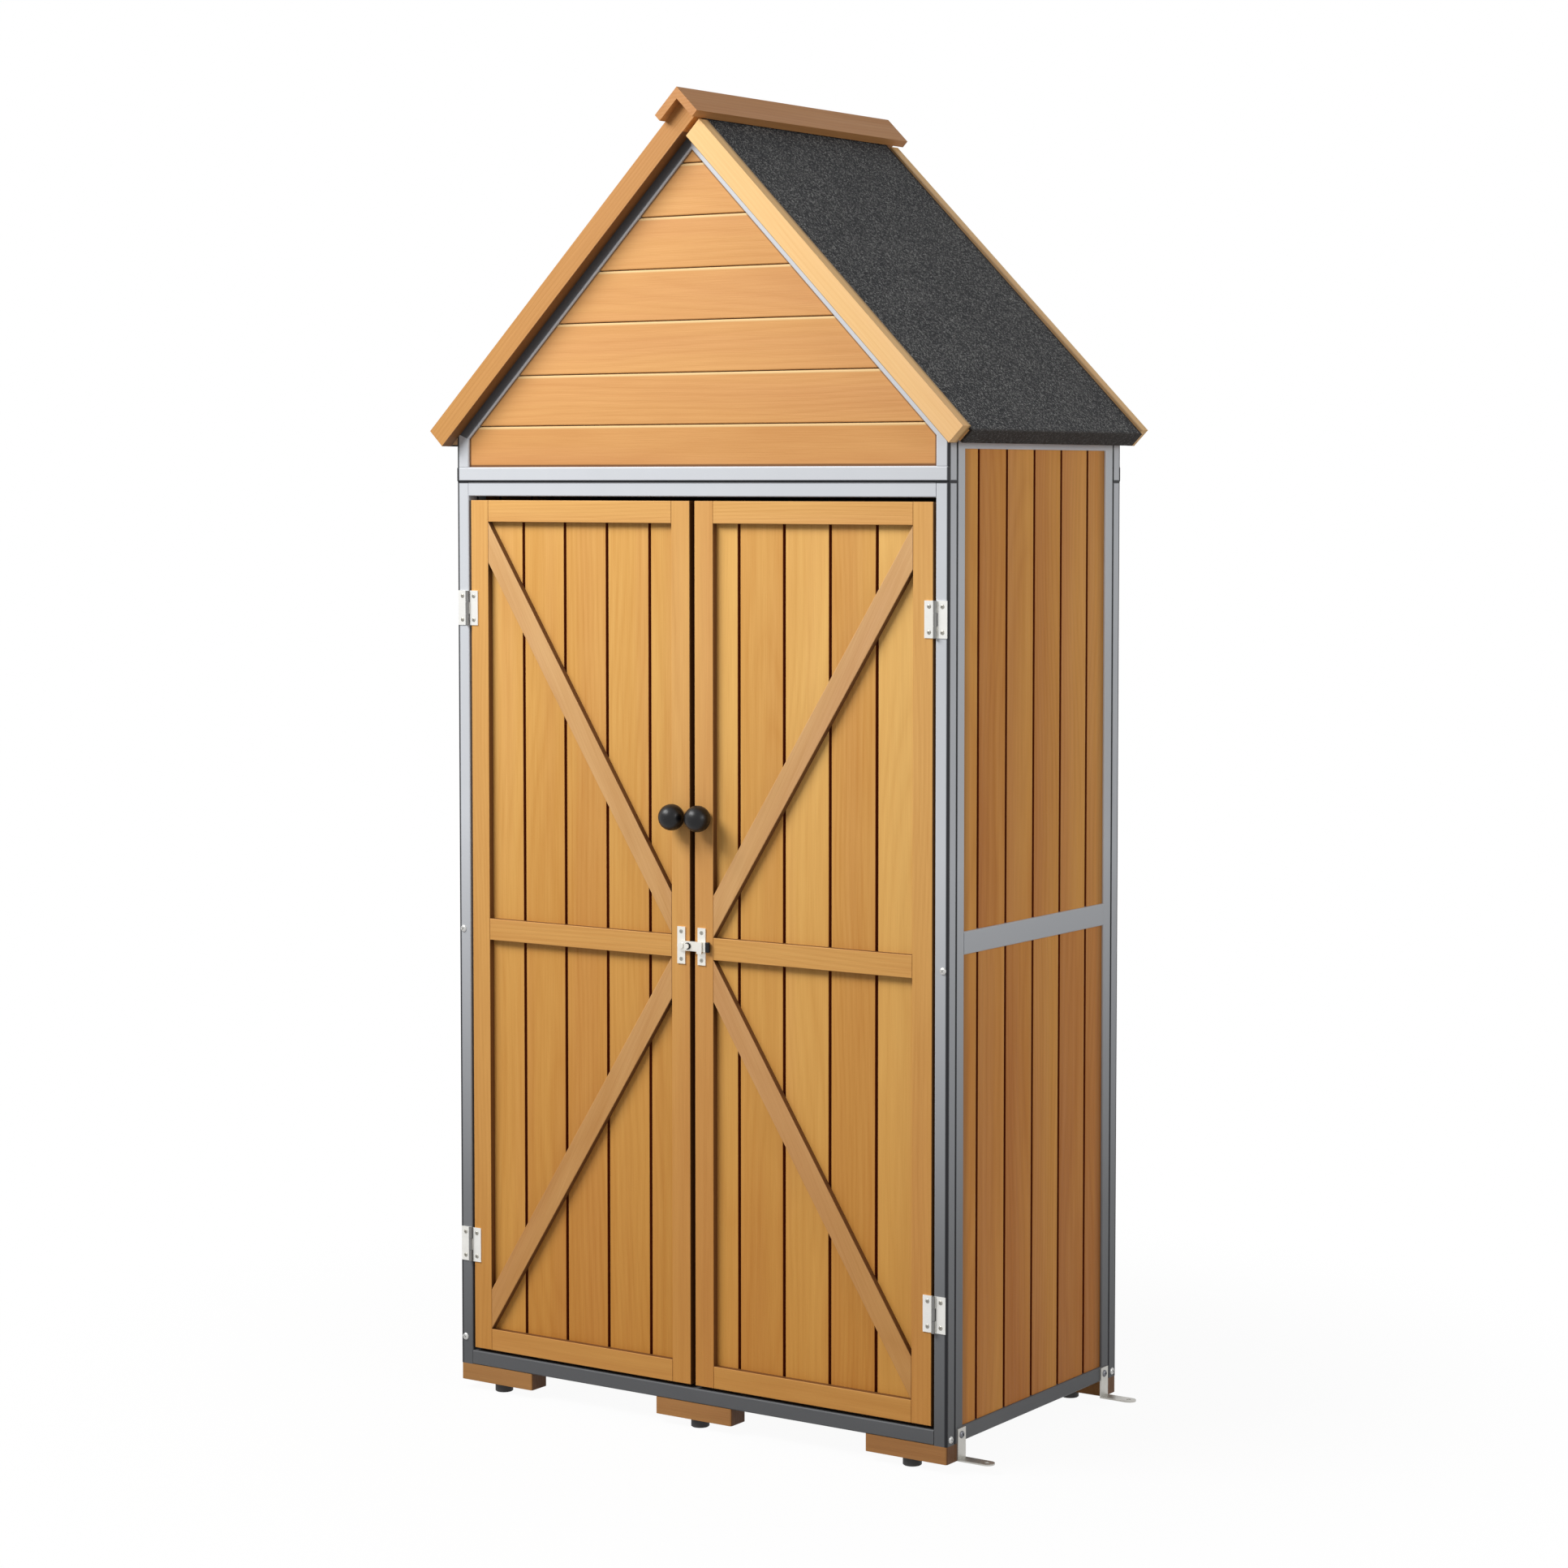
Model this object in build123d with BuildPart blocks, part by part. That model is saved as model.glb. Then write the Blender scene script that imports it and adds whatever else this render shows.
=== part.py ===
from build123d import *
from math import sqrt
import os

# A small garden shed with double doors. Millimetres, Z up from the ground, doors towards -Y,
# and the origin on the ground under the middle of the body.

# Body and tube frame
body_width = 800.0
body_depth = 450.0
tube = 20.0
tube_round = 2.0
foot_height = 12.0
block_height = 23.0
door_frame_height = 1240.0
mid_rail_height = 30.0
mid_rail_centre = 683.0
eaves_rail_bottom = 1317.0

# Roof at 45 degrees: the ridge height of each plane that follows the slope
rafter_ridge = 1742.0
deck_thickness = 19.0
felt_thickness = 3.0
barge_ridge = 1777.0
barge_width = 30.0
barge_thickness = 20.0
barge_joint_gap = 8.0
eaves_low_point = 1324.0
ridge_board = 11.0
ridge_left_width = 50.0
ridge_right_width = 35.0
ridge_front_overhang = 13.0
ridge_back_overhang = 17.0

# Timber linings
panel_thickness = 12.0
panel_recess = 3.0
floor_thickness = 12.0
bearer_width = 60.0
bearer_offset = 335.0

# Feet and ground brackets
block_length = 125.0
block_depth = 34.0
block_round = 3.0
foot_radius = 12.5
foot_chamfer = 1.0
bracket_width = 19.5
bracket_thickness = 2.0
bracket_leg = 42.0
bracket_reach = 50.0
bracket_y = 190.5
bracket_hole = 3.0
bracket_leg_hole = 2.6
bracket_hole_edge = 10.0
bracket_leg_hole_drop = 9.0

# Doors
door_side_gap = 4.0
door_meeting_gap = 8.0
door_bottom_gap = 4.5
door_top_gap = 5.5
batten_width = 30.0
batten_thickness = 9.0
batten_round = 1.0
door_mid_centre = 653.0

# Hinges, on the faces of the posts and doors
hinge_axis_x = 381.0
hinge_axis_front = 3.0
hinge_height = 48.0
hinge_leaf_thickness = 1.2
hinge_leaf_width = 14.0
hinge_leaf_gap = 3.0
knuckle_radius = 2.5
knuckle_gap = 0.4
pin_radius = 1.25
pin_clearance = 0.2
hinge_levels = (206.0, 1100.0)

# Knobs and latch
knob_x = 21.2
knob_z = 828.0
knob_neck_radius = 9.0
knob_radius = 17.8
knob_reach = 36.0
latch_z = 655.0
latch_plate_width = 12.8
latch_plate_height = 50.0
latch_plate_thickness = 1.5
latch_plate_x = 17.4
keeper_plate_x = 15.9
latch_pivot_x = 15.0
latch_bar_width = 13.0
latch_bar_thickness = 3.0
latch_bar_reach = 45.0
latch_play = 0.6
pivot_radius = 3.0
pivot_head = 1.2
grip_radius = 3.5
grip_offset = 11.0
grip_height = 4.0
keeper_lip = 2.0
keeper_hook_width = 8.0

half_width = body_width / 2
half_depth = body_depth / 2
post_x = half_width - tube / 2
post_y = half_depth - tube / 2
inner_x = half_width - tube
inner_y = half_depth - tube
side_post_y = inner_y - tube / 2
side_panel_y = inner_y - tube
frame_bottom = foot_height + block_height
sill_top = frame_bottom + tube
frame_top = frame_bottom + door_frame_height
gable_sill_top = frame_top + tube
mid_rail_bottom = mid_rail_centre - mid_rail_height / 2
mid_rail_top = mid_rail_centre + mid_rail_height / 2
slope = sqrt(2)
rafter_inner_ridge = rafter_ridge - tube * slope
# The mitre of a post and a rafter halves their angle, so it lies at 22.5 degrees.
mitre_inner_z = rafter_inner_ridge - inner_x
mitre_outer_z = rafter_ridge - half_width
deck_ridge = rafter_ridge + deck_thickness * slope
felt_ridge = deck_ridge + felt_thickness * slope
barge_inner_ridge = barge_ridge - barge_width * slope
ridge_outer = barge_ridge + ridge_board * slope
door_bottom = sill_top + door_bottom_gap
door_top = frame_top - tube - door_top_gap
door_inner_x = door_meeting_gap / 2
door_outer_x = inner_x - door_side_gap
hinge_axis_y = half_depth + hinge_axis_front
knob_centre = knob_reach - knob_radius


def front_boxes(spans, outer_y, thickness, rounding=0.0):
    """Boxes given by their X and Z spans, with their front faces at -outer_y."""
    with BuildPart() as boxes:
        with BuildSketch(Plane.XZ.offset(outer_y - thickness)):
            for x0, x1, z0, z1 in spans:
                with Locations(((x0 + x1) / 2, (z0 + z1) / 2)):
                    Rectangle(x1 - x0, z1 - z0)
        extrude(amount=thickness)
        if rounding:
            fillet(boxes.edges().group_by(Axis.Y)[0], rounding)
    return boxes


def mirrored(piece, plane):
    with BuildPart() as other:
        mirror(piece.part, about=plane)
    return other


pieces = {}

# Ground contact: round feet under short blocks, in a row at the front and one at the back
block_xs = (block_length / 2 - half_width, 0.0, half_width - block_length / 2)
block_y = half_depth - block_depth / 2
block_places = [(x, y) for x in block_xs for y in (-block_y, block_y)]

with BuildPart() as levelling_feet:
    with BuildSketch():
        with Locations(*block_places):
            Circle(foot_radius)
    extrude(amount=foot_height)
    chamfer(levelling_feet.edges().group_by(Axis.Z)[0], foot_chamfer)
pieces["levelling_feet"] = levelling_feet

with BuildPart() as foot_blocks:
    with BuildSketch(Plane.XY.offset(foot_height)):
        with Locations(*block_places):
            RectangleRounded(block_length, block_depth, block_round)
    extrude(amount=block_height)
pieces["foot_blocks"] = foot_blocks

# Tube frames: upright posts take their section from above, rails from the side
with BuildPart() as front_frame_posts:
    with BuildSketch(Plane.XY.offset(frame_bottom)):
        with Locations((-post_x, -post_y), (post_x, -post_y)):
            RectangleRounded(tube, tube, tube_round)
    extrude(amount=door_frame_height)
pieces["front_frame_posts"] = front_frame_posts
pieces["back_frame_posts"] = mirrored(front_frame_posts, Plane.XZ)

with BuildPart() as front_frame_rails:
    with BuildSketch(Plane.YZ.offset(-inner_x)):
        with Locations((-post_y, frame_bottom + tube / 2), (-post_y, frame_top - tube / 2)):
            RectangleRounded(tube, tube, tube_round)
    extrude(amount=2 * inner_x)
pieces["front_frame_rails"] = front_frame_rails

with BuildPart() as back_frame_rails:
    with BuildSketch(Plane.YZ.offset(-inner_x)):
        with Locations((post_y, frame_bottom + tube / 2), (post_y, frame_top - tube / 2)):
            RectangleRounded(tube, tube, tube_round)
        with Locations((post_y, mid_rail_centre)):
            RectangleRounded(tube, mid_rail_height, tube_round)
    extrude(amount=2 * inner_x)
pieces["back_frame_rails"] = back_frame_rails

with BuildPart() as side_posts:
    with BuildSketch(Plane.XY.offset(frame_bottom)):
        with GridLocations(2 * post_x, 2 * side_post_y, 2, 2):
            RectangleRounded(tube, tube, tube_round)
    extrude(amount=eaves_rail_bottom - frame_bottom)
pieces["side_posts"] = side_posts

with BuildPart() as side_rails:
    with BuildSketch(Plane.XZ.offset(-side_panel_y)):
        with Locations((-post_x, frame_bottom + tube / 2), (post_x, frame_bottom + tube / 2)):
            RectangleRounded(tube, tube, tube_round)
        with Locations((-post_x, mid_rail_centre), (post_x, mid_rail_centre)):
            RectangleRounded(tube, mid_rail_height, tube_round)
    extrude(amount=2 * side_panel_y)
pieces["side_rails"] = side_rails

# The eaves rails are cut to the slope, and the roof rests along them.
with BuildPart() as eaves_rails:
    with BuildSketch(Plane.XZ.offset(-inner_y)):
        for side in (-1, 1):
            Polygon(
                (side * inner_x, eaves_rail_bottom),
                (side * half_width, eaves_rail_bottom),
                (side * half_width, rafter_ridge - half_width),
                (side * inner_x, rafter_ridge - inner_x),
                align=None,
            )
    extrude(amount=2 * inner_y)
pieces["eaves_rails"] = eaves_rails

# Gable frames: a sill, two short posts and two rafters, mitred together
with BuildPart() as gable_sills:
    with BuildSketch(Plane.YZ.offset(-half_width)):
        with Locations((-post_y, frame_top + tube / 2), (post_y, frame_top + tube / 2)):
            RectangleRounded(tube, tube, tube_round)
    extrude(amount=body_width)
pieces["gable_sills"] = gable_sills


def front_and_back(outlines):
    """One prism for each outline, a tube deep, in the front gable and in the back one."""
    with BuildPart() as prisms:
        for start in (inner_y, -half_depth):
            with BuildSketch(Plane.XZ.offset(start)):
                for points in outlines:
                    Polygon(*points, align=None)
            extrude(amount=tube)
    return prisms


def rounded_along(prisms, direction):
    """Round the long edges of tubes that run along the given direction."""
    with BuildPart() as tubes:
        add(prisms.part)
        fillet(tubes.edges().filter_by(Axis((0, 0, 0), direction)), tube_round)
    return tubes


post_outlines = [
    [
        (side * inner_x, gable_sill_top),
        (side * half_width, gable_sill_top),
        (side * half_width, mitre_outer_z),
        (side * inner_x, mitre_inner_z),
    ]
    for side in (-1, 1)
]
pieces["gable_posts"] = rounded_along(front_and_back(post_outlines), (0, 0, 1))

rafter_outline = [
    (0, rafter_inner_ridge),
    (0, rafter_ridge),
    (half_width, mitre_outer_z),
    (inner_x, mitre_inner_z),
]
right_rafters = rounded_along(front_and_back([rafter_outline]), (1, 0, -1))
pieces["right_rafters"] = right_rafters
pieces["left_rafters"] = mirrored(right_rafters, Plane.YZ)

# Timber linings inside the frames
gable_outline = [
    (-inner_x, gable_sill_top),
    (inner_x, gable_sill_top),
    (inner_x, mitre_inner_z),
    (0, rafter_inner_ridge),
    (-inner_x, mitre_inner_z),
]
with BuildPart() as gable_panels:
    for start in (half_depth - panel_recess - panel_thickness, panel_recess - half_depth):
        with BuildSketch(Plane.XZ.offset(start)):
            Polygon(*gable_outline, align=None)
        extrude(amount=panel_thickness)
pieces["gable_panels"] = gable_panels

panel_x = half_width - panel_recess - panel_thickness / 2
with BuildPart() as right_wall_panels:
    for low, high in ((sill_top, mid_rail_bottom), (mid_rail_top, eaves_rail_bottom)):
        with BuildSketch(Plane.XY.offset(low)):
            with Locations((panel_x, 0)):
                Rectangle(panel_thickness, 2 * side_panel_y)
        extrude(amount=high - low)
pieces["right_wall_panels"] = right_wall_panels
pieces["left_wall_panels"] = mirrored(right_wall_panels, Plane.YZ)

panel_y = half_depth - panel_recess - panel_thickness / 2
with BuildPart() as back_wall_panels:
    for low, high in ((sill_top, mid_rail_bottom), (mid_rail_top, frame_top - tube)):
        with BuildSketch(Plane.XY.offset(low)):
            with Locations((0, panel_y)):
                Rectangle(2 * inner_x, panel_thickness)
        extrude(amount=high - low)
pieces["back_wall_panels"] = back_wall_panels

# Floor: a deck level with the sill, on bearers that lie on the foot blocks
with BuildPart() as floor_deck:
    with BuildSketch(Plane.XY.offset(sill_top - floor_thickness)):
        Rectangle(2 * inner_x, 2 * inner_y)
    extrude(amount=floor_thickness)
pieces["floor_deck"] = floor_deck

with BuildPart() as floor_bearers:
    with BuildSketch(Plane.XY.offset(frame_bottom)):
        with Locations((-bearer_offset, 0), (0, 0), (bearer_offset, 0)):
            Rectangle(bearer_width, 2 * inner_y)
    extrude(amount=tube - floor_thickness)
pieces["floor_bearers"] = floor_bearers


def slope_strip(low, high, low_point):
    """The right slope between two planes, square at the eaves, where its corner is lowest."""
    rise = (high - low) / 2
    return [
        (0, low),
        (0, high),
        (low - low_point + rise, low_point + rise),
        (low - low_point, low_point),
    ]


# Roof: boarding between the barge boards, and felt that turns down over its end at the eaves
deck_outline = slope_strip(rafter_ridge, deck_ridge, eaves_low_point + felt_thickness / slope)
cover_outline = slope_strip(rafter_ridge, felt_ridge, eaves_low_point)
with BuildPart() as right_roof_deck:
    with BuildSketch(Plane.XZ.offset(-half_depth)):
        Polygon(*deck_outline, align=None)
    extrude(amount=body_depth)
pieces["right_roof_deck"] = right_roof_deck
pieces["left_roof_deck"] = mirrored(right_roof_deck, Plane.YZ)

with BuildPart() as right_roof_felt:
    with BuildSketch(Plane.XZ.offset(-half_depth)):
        Polygon(*cover_outline, align=None)
        Polygon(*deck_outline, align=None, mode=Mode.SUBTRACT)
    extrude(amount=body_depth)
pieces["right_roof_felt"] = right_roof_felt
pieces["left_roof_felt"] = mirrored(right_roof_felt, Plane.YZ)

# Each left barge board runs through to the ridge, and the right one stops a little short of it.
barge_rise = barge_width / slope
barge_tip_x = barge_inner_ridge - eaves_low_point
right_barge_start = barge_joint_gap / slope
left_barge_outline = [
    (0, barge_ridge),
    (barge_rise, barge_ridge - barge_rise),
    (-barge_tip_x, eaves_low_point),
    (-barge_tip_x - barge_rise, eaves_low_point + barge_rise),
]
right_barge_outline = [
    (right_barge_start, barge_inner_ridge - right_barge_start),
    (barge_rise + right_barge_start, barge_ridge - barge_rise - right_barge_start),
    (barge_tip_x + barge_rise, eaves_low_point + barge_rise),
    (barge_tip_x, eaves_low_point),
]


def barge_pair(outline):
    with BuildPart() as pair:
        for start in (half_depth, -half_depth - barge_thickness):
            with BuildSketch(Plane.XZ.offset(start)):
                Polygon(*outline, align=None)
            extrude(amount=barge_thickness)
    return pair


pieces["left_barges"] = barge_pair(left_barge_outline)
pieces["right_barges"] = barge_pair(right_barge_outline)

# Ridge boards: the left one runs through to the top, and the right one butts under it.
ridge_rise = ridge_board / slope
left_run = ridge_left_width / slope
right_run = (ridge_right_width + ridge_board) / slope
left_ridge_outline = [
    (0, ridge_outer),
    (ridge_rise, ridge_outer - ridge_rise),
    (ridge_rise - left_run, ridge_outer - ridge_rise - left_run),
    (-left_run, ridge_outer - left_run),
]
right_ridge_outline = [
    (0, barge_ridge),
    (ridge_rise, barge_ridge + ridge_rise),
    (right_run, ridge_outer - right_run),
    (right_run - ridge_rise, ridge_outer - right_run - ridge_rise),
]
barge_front = half_depth + barge_thickness
ridge_start = -barge_front - ridge_back_overhang
ridge_length = 2 * barge_front + ridge_front_overhang + ridge_back_overhang


def ridge_piece(outline):
    with BuildPart() as board:
        with BuildSketch(Plane.XZ.offset(ridge_start)):
            Polygon(*outline, align=None)
        extrude(amount=ridge_length)
    return board


pieces["left_ridge_board"] = ridge_piece(left_ridge_outline)
pieces["right_ridge_board"] = ridge_piece(right_ridge_outline)

# Ground brackets: a bent strip on the right side, near each end, with a rounded foot
bracket_end = half_width + bracket_reach
with BuildPart() as anchor_brackets:
    for y in (-bracket_y, bracket_y):
        with BuildSketch(Plane.XY.offset(foot_height)):
            with Locations((half_width + bracket_reach / 2 - bracket_width / 4, y)):
                Rectangle(bracket_reach - bracket_width / 2, bracket_width)
            with Locations((bracket_end - bracket_width / 2, y)):
                Circle(bracket_width / 2)
            with Locations((bracket_end - bracket_hole_edge, y)):
                Circle(bracket_hole, mode=Mode.SUBTRACT)
        extrude(amount=bracket_thickness)
        with BuildSketch(Plane.YZ.offset(half_width)):
            with Locations((y, foot_height + bracket_leg / 2)):
                Rectangle(bracket_width, bracket_leg)
            with Locations((y, foot_height + bracket_leg - bracket_leg_hole_drop)):
                Circle(bracket_leg_hole, mode=Mode.SUBTRACT)
        extrude(amount=bracket_thickness)
pieces["anchor_brackets"] = anchor_brackets

# Hinges: leaves on the faces of the post and the door, three knuckles and a pin
knuckle = hinge_height / 3


def hinge_half(leaf_x, web_x, knuckle_spans, bore):
    """One half of each right-hand hinge. The spans are the heights of its knuckles."""
    with BuildPart() as half:
        for level in hinge_levels:
            base = level - hinge_height / 2
            with BuildSketch(Plane.XY.offset(base)):
                with Locations(((leaf_x[0] + leaf_x[1]) / 2, -half_depth - hinge_leaf_thickness / 2)):
                    Rectangle(leaf_x[1] - leaf_x[0], hinge_leaf_thickness)
            extrude(amount=hinge_height)
            for low, high in knuckle_spans:
                with BuildSketch(Plane.XY.offset(base + low)):
                    with Locations(((web_x[0] + web_x[1]) / 2, -half_depth - hinge_leaf_thickness / 2)):
                        Rectangle(web_x[1] - web_x[0], hinge_leaf_thickness)
                    with Locations((hinge_axis_x, -hinge_axis_y)):
                        Circle(knuckle_radius)
                        if bore:
                            Circle(bore, mode=Mode.SUBTRACT)
                extrude(amount=high - low)
    return half


frame_leaf = (hinge_axis_x + hinge_leaf_gap, hinge_axis_x + hinge_leaf_gap + hinge_leaf_width)
door_leaf = (hinge_axis_x - hinge_leaf_gap - hinge_leaf_width, hinge_axis_x - hinge_leaf_gap)
outer_knuckles = ((0, knuckle - knuckle_gap), (2 * knuckle + knuckle_gap, hinge_height))
frame_half = hinge_half(frame_leaf, (hinge_axis_x, frame_leaf[0]), outer_knuckles, 0.0)
middle_knuckle = ((knuckle, 2 * knuckle),)
door_half = hinge_half(door_leaf, (door_leaf[1], hinge_axis_x), middle_knuckle, pin_radius + pin_clearance)

with BuildPart() as hinge_frame_leaves:
    add(frame_half.part)
    for level in hinge_levels:
        with BuildSketch(Plane.XY.offset(level - hinge_height / 2)):
            with Locations((hinge_axis_x, -hinge_axis_y)):
                Circle(pin_radius)
        extrude(amount=hinge_height)
    mirror(hinge_frame_leaves.part, about=Plane.YZ)
pieces["hinge_frame_leaves"] = hinge_frame_leaves

# Doors: upright boards behind a framework of battens. The right door is made first.
board_front = half_depth - batten_thickness
stile_inner = door_inner_x + batten_width
stile_outer = door_outer_x - batten_width
mid_low = door_mid_centre - batten_width / 2
mid_high = door_mid_centre + batten_width / 2
panel_low = door_bottom + batten_width
panel_high = door_top - batten_width


def brace_outline(low, high, rising):
    """A batten between opposite corners of the opening, its ends cut upright at the stiles."""
    span = stile_outer - stile_inner
    rise = high - low
    diagonal = sqrt(span**2 + rise**2 - batten_width**2)
    end = batten_width * (span * diagonal - batten_width * rise) / (span**2 - batten_width**2)
    left_low = low if rising else high - end
    right_low = high - end if rising else low
    return [
        (stile_inner, left_low),
        (stile_outer, right_low),
        (stile_outer, right_low + end),
        (stile_inner, left_low + end),
    ]


door_boards = front_boxes([(door_inner_x, door_outer_x, door_bottom, door_top)], board_front, panel_thickness)
door_stiles = front_boxes(
    [
        (door_inner_x, stile_inner, door_bottom, door_top),
        (stile_outer, door_outer_x, door_bottom, door_top),
    ],
    half_depth,
    batten_thickness,
    batten_round,
)
door_rails = front_boxes(
    [
        (stile_inner, stile_outer, door_bottom, panel_low),
        (stile_inner, stile_outer, mid_low, mid_high),
        (stile_inner, stile_outer, panel_high, door_top),
    ],
    half_depth,
    batten_thickness,
    batten_round,
)
with BuildPart() as door_braces:
    with BuildSketch(Plane.XZ.offset(board_front)):
        Polygon(*brace_outline(mid_high, panel_high, rising=True), align=None)
        Polygon(*brace_outline(panel_low, mid_low, rising=False), align=None)
    extrude(amount=batten_thickness)
    fillet(door_braces.edges().group_by(Axis.Y)[0], batten_round)

# A turned knob: a ball on a short neck, revolved about the line that faces forward
knob_plane = Plane(origin=(knob_x, -half_depth, knob_z), x_dir=(1, 0, 0), z_dir=(0, 0, 1))
with BuildPart() as door_knob:
    with BuildSketch(knob_plane):
        with Locations((0, -knob_centre)):
            Circle(knob_radius)
        with Locations((0, -knob_centre / 2)):
            Rectangle(2 * knob_neck_radius, knob_centre)
        with Locations((-knob_radius, -knob_centre)):
            Rectangle(2 * knob_radius, 2 * knob_reach, mode=Mode.SUBTRACT)
    revolve(axis=Axis((knob_x, -half_depth, knob_z), (0, 1, 0)))

door_pieces = {
    "boards": door_boards,
    "stiles": door_stiles,
    "rails": door_rails,
    "braces": door_braces,
    "knob": door_knob,
    "hinge_leaves": door_half,
}
for name, piece in door_pieces.items():
    pieces["right_door_" + name] = piece
    pieces["left_door_" + name] = mirrored(piece, Plane.YZ)

# Swing-bar latch: the bar turns about a rivet on the left door and drops into a hook
plate_front = half_depth + latch_plate_thickness
bar_back = plate_front + latch_play
bar_front = bar_back + latch_bar_thickness
plate_low = latch_z - latch_plate_height / 2
plate_high = latch_z + latch_plate_height / 2
left_plate_span = (-latch_plate_x - latch_plate_width / 2, -latch_plate_x + latch_plate_width / 2)
keeper_span = (keeper_plate_x - latch_plate_width / 2, keeper_plate_x + latch_plate_width / 2)

left_latch_plate = front_boxes(
    [(*left_plate_span, plate_low, plate_high)], plate_front, latch_plate_thickness
)
with BuildPart(mode=Mode.PRIVATE) as latch_rivet:
    with BuildSketch(Plane.XZ.offset(plate_front)):
        with Locations((-latch_pivot_x, latch_z)):
            Circle(pivot_radius - latch_play / 2)
    extrude(amount=bar_front - plate_front + latch_play / 2)
with BuildPart() as latch_plate:
    add(left_latch_plate.part)
    add(latch_rivet.part)
    with BuildSketch(Plane.XZ.offset(bar_front + latch_play / 2)):
        with Locations((-latch_pivot_x, latch_z)):
            Circle(pivot_radius + pivot_head)
    extrude(amount=pivot_head)
pieces["left_door_latch_plate"] = latch_plate

with BuildPart() as latch_bar:
    with BuildSketch(Plane.XZ.offset(bar_back)):
        with Locations((latch_bar_reach / 2 - latch_pivot_x, latch_z)):
            Rectangle(latch_bar_reach, latch_bar_width)
        with Locations((-latch_pivot_x, latch_z)):
            Circle(latch_bar_width / 2)
            Circle(pivot_radius, mode=Mode.SUBTRACT)
    extrude(amount=latch_bar_thickness)
    with BuildSketch(Plane.XZ.offset(bar_front)):
        with Locations((grip_offset - latch_pivot_x, latch_z)):
            Circle(grip_radius)
    extrude(amount=grip_height)
pieces["latch_bar"] = latch_bar

# The hook passes under the bar and rises in front of it, open at the top.
hook_low = latch_z - latch_bar_width / 2 - latch_play
with BuildPart() as keeper:
    add(front_boxes([(*keeper_span, plate_low, plate_high)], plate_front, latch_plate_thickness).part)
    with BuildSketch(Plane.YZ.offset(keeper_plate_x - keeper_hook_width / 2)):
        Polygon(
            (-plate_front, hook_low - keeper_lip),
            (-plate_front, hook_low),
            (-bar_front - latch_play, hook_low),
            (-bar_front - latch_play, latch_z + latch_bar_width / 2),
            (-bar_front - latch_play - keeper_lip, latch_z + latch_bar_width / 2),
            (-bar_front - latch_play - keeper_lip, hook_low - keeper_lip),
            align=None,
        )
    extrude(amount=keeper_hook_width)
pieces["right_door_latch_keeper"] = keeper

os.makedirs("parts", exist_ok=True)
for name, piece in pieces.items():
    piece.part.label = name
    export_step(piece.part, f"parts/{name}.step")
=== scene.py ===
# A small garden shed with double doors, dressed for rendering.
# Metres, Z up from the ground, doors towards -Y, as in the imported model.
import bmesh
import bpy
from math import atan2, cos, pi, radians, sin
from mathutils import Matrix, Vector


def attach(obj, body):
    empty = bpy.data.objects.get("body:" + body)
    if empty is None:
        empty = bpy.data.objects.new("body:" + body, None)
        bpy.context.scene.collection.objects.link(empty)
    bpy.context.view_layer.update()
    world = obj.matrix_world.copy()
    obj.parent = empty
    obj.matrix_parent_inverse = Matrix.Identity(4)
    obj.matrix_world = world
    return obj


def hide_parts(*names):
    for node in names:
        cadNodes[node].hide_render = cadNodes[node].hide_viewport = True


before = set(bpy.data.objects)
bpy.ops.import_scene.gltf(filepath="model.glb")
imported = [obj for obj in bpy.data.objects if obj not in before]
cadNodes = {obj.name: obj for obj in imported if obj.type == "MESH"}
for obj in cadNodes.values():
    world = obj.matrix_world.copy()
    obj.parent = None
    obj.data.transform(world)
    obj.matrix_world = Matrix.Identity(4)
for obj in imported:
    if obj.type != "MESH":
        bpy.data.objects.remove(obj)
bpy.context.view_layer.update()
print("frame loaded:", len(cadNodes), "nodes")


# Camera: the photograph's point of view, with the optical axis a little above the middle
cameraSet = {
    "place": (2.7417, -4.0755, 1.2736),
    "down": 3.338,
    "turn": 33.966,
    "lens": 81.557,
    "sensor": 36,
    "shiftY": -0.06,
}

cameraData = bpy.data.cameras.new("camera")
cameraData.lens = cameraSet["lens"]
cameraData.sensor_width = cameraSet["sensor"]
cameraData.shift_y = cameraSet["shiftY"]
camera = bpy.data.objects.new("camera", cameraData)
camera.location = cameraSet["place"]
camera.rotation_euler = (radians(90 - cameraSet["down"]), 0, radians(cameraSet["turn"]))
bpy.context.collection.objects.link(camera)
bpy.context.scene.camera = camera


# Helpers for node trees: a feed is either another node's socket or a plain value
def shownSocket(sockets, name=None):
    return next(item for item in sockets if item.enabled and name in (None, item.name))


def place(tree, kind, feeds=None, **settings):
    node = tree.nodes.new(kind)
    for key, value in settings.items():
        setattr(node, key, value)
    for socket, value in (feeds or {}).items():
        shown = node.inputs[socket] if isinstance(socket, int) else shownSocket(node.inputs, socket)
        if isinstance(value, bpy.types.NodeSocket):
            tree.links.new(value, shown)
        else:
            shown.default_value = value
    return node


def maths(tree, operation, first, second=0.0, third=0.0, clamp=False):
    feeds = {0: first, 1: second, 2: third}
    return place(tree, "ShaderNodeMath", feeds, operation=operation, use_clamp=clamp).outputs[0]


def vectors(tree, operation, first, second):
    return place(tree, "ShaderNodeVectorMath", {0: first, 1: second}, operation=operation).outputs[0]


def lengthOf(tree, vector):
    return place(tree, "ShaderNodeVectorMath", {0: vector}, operation="LENGTH").outputs["Value"]


def axes(tree, vector):
    return place(tree, "ShaderNodeSeparateXYZ", {0: vector}).outputs


def joinAxes(tree, x, y, z):
    return place(tree, "ShaderNodeCombineXYZ", {0: x, 1: y, 2: z}).outputs[0]


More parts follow.
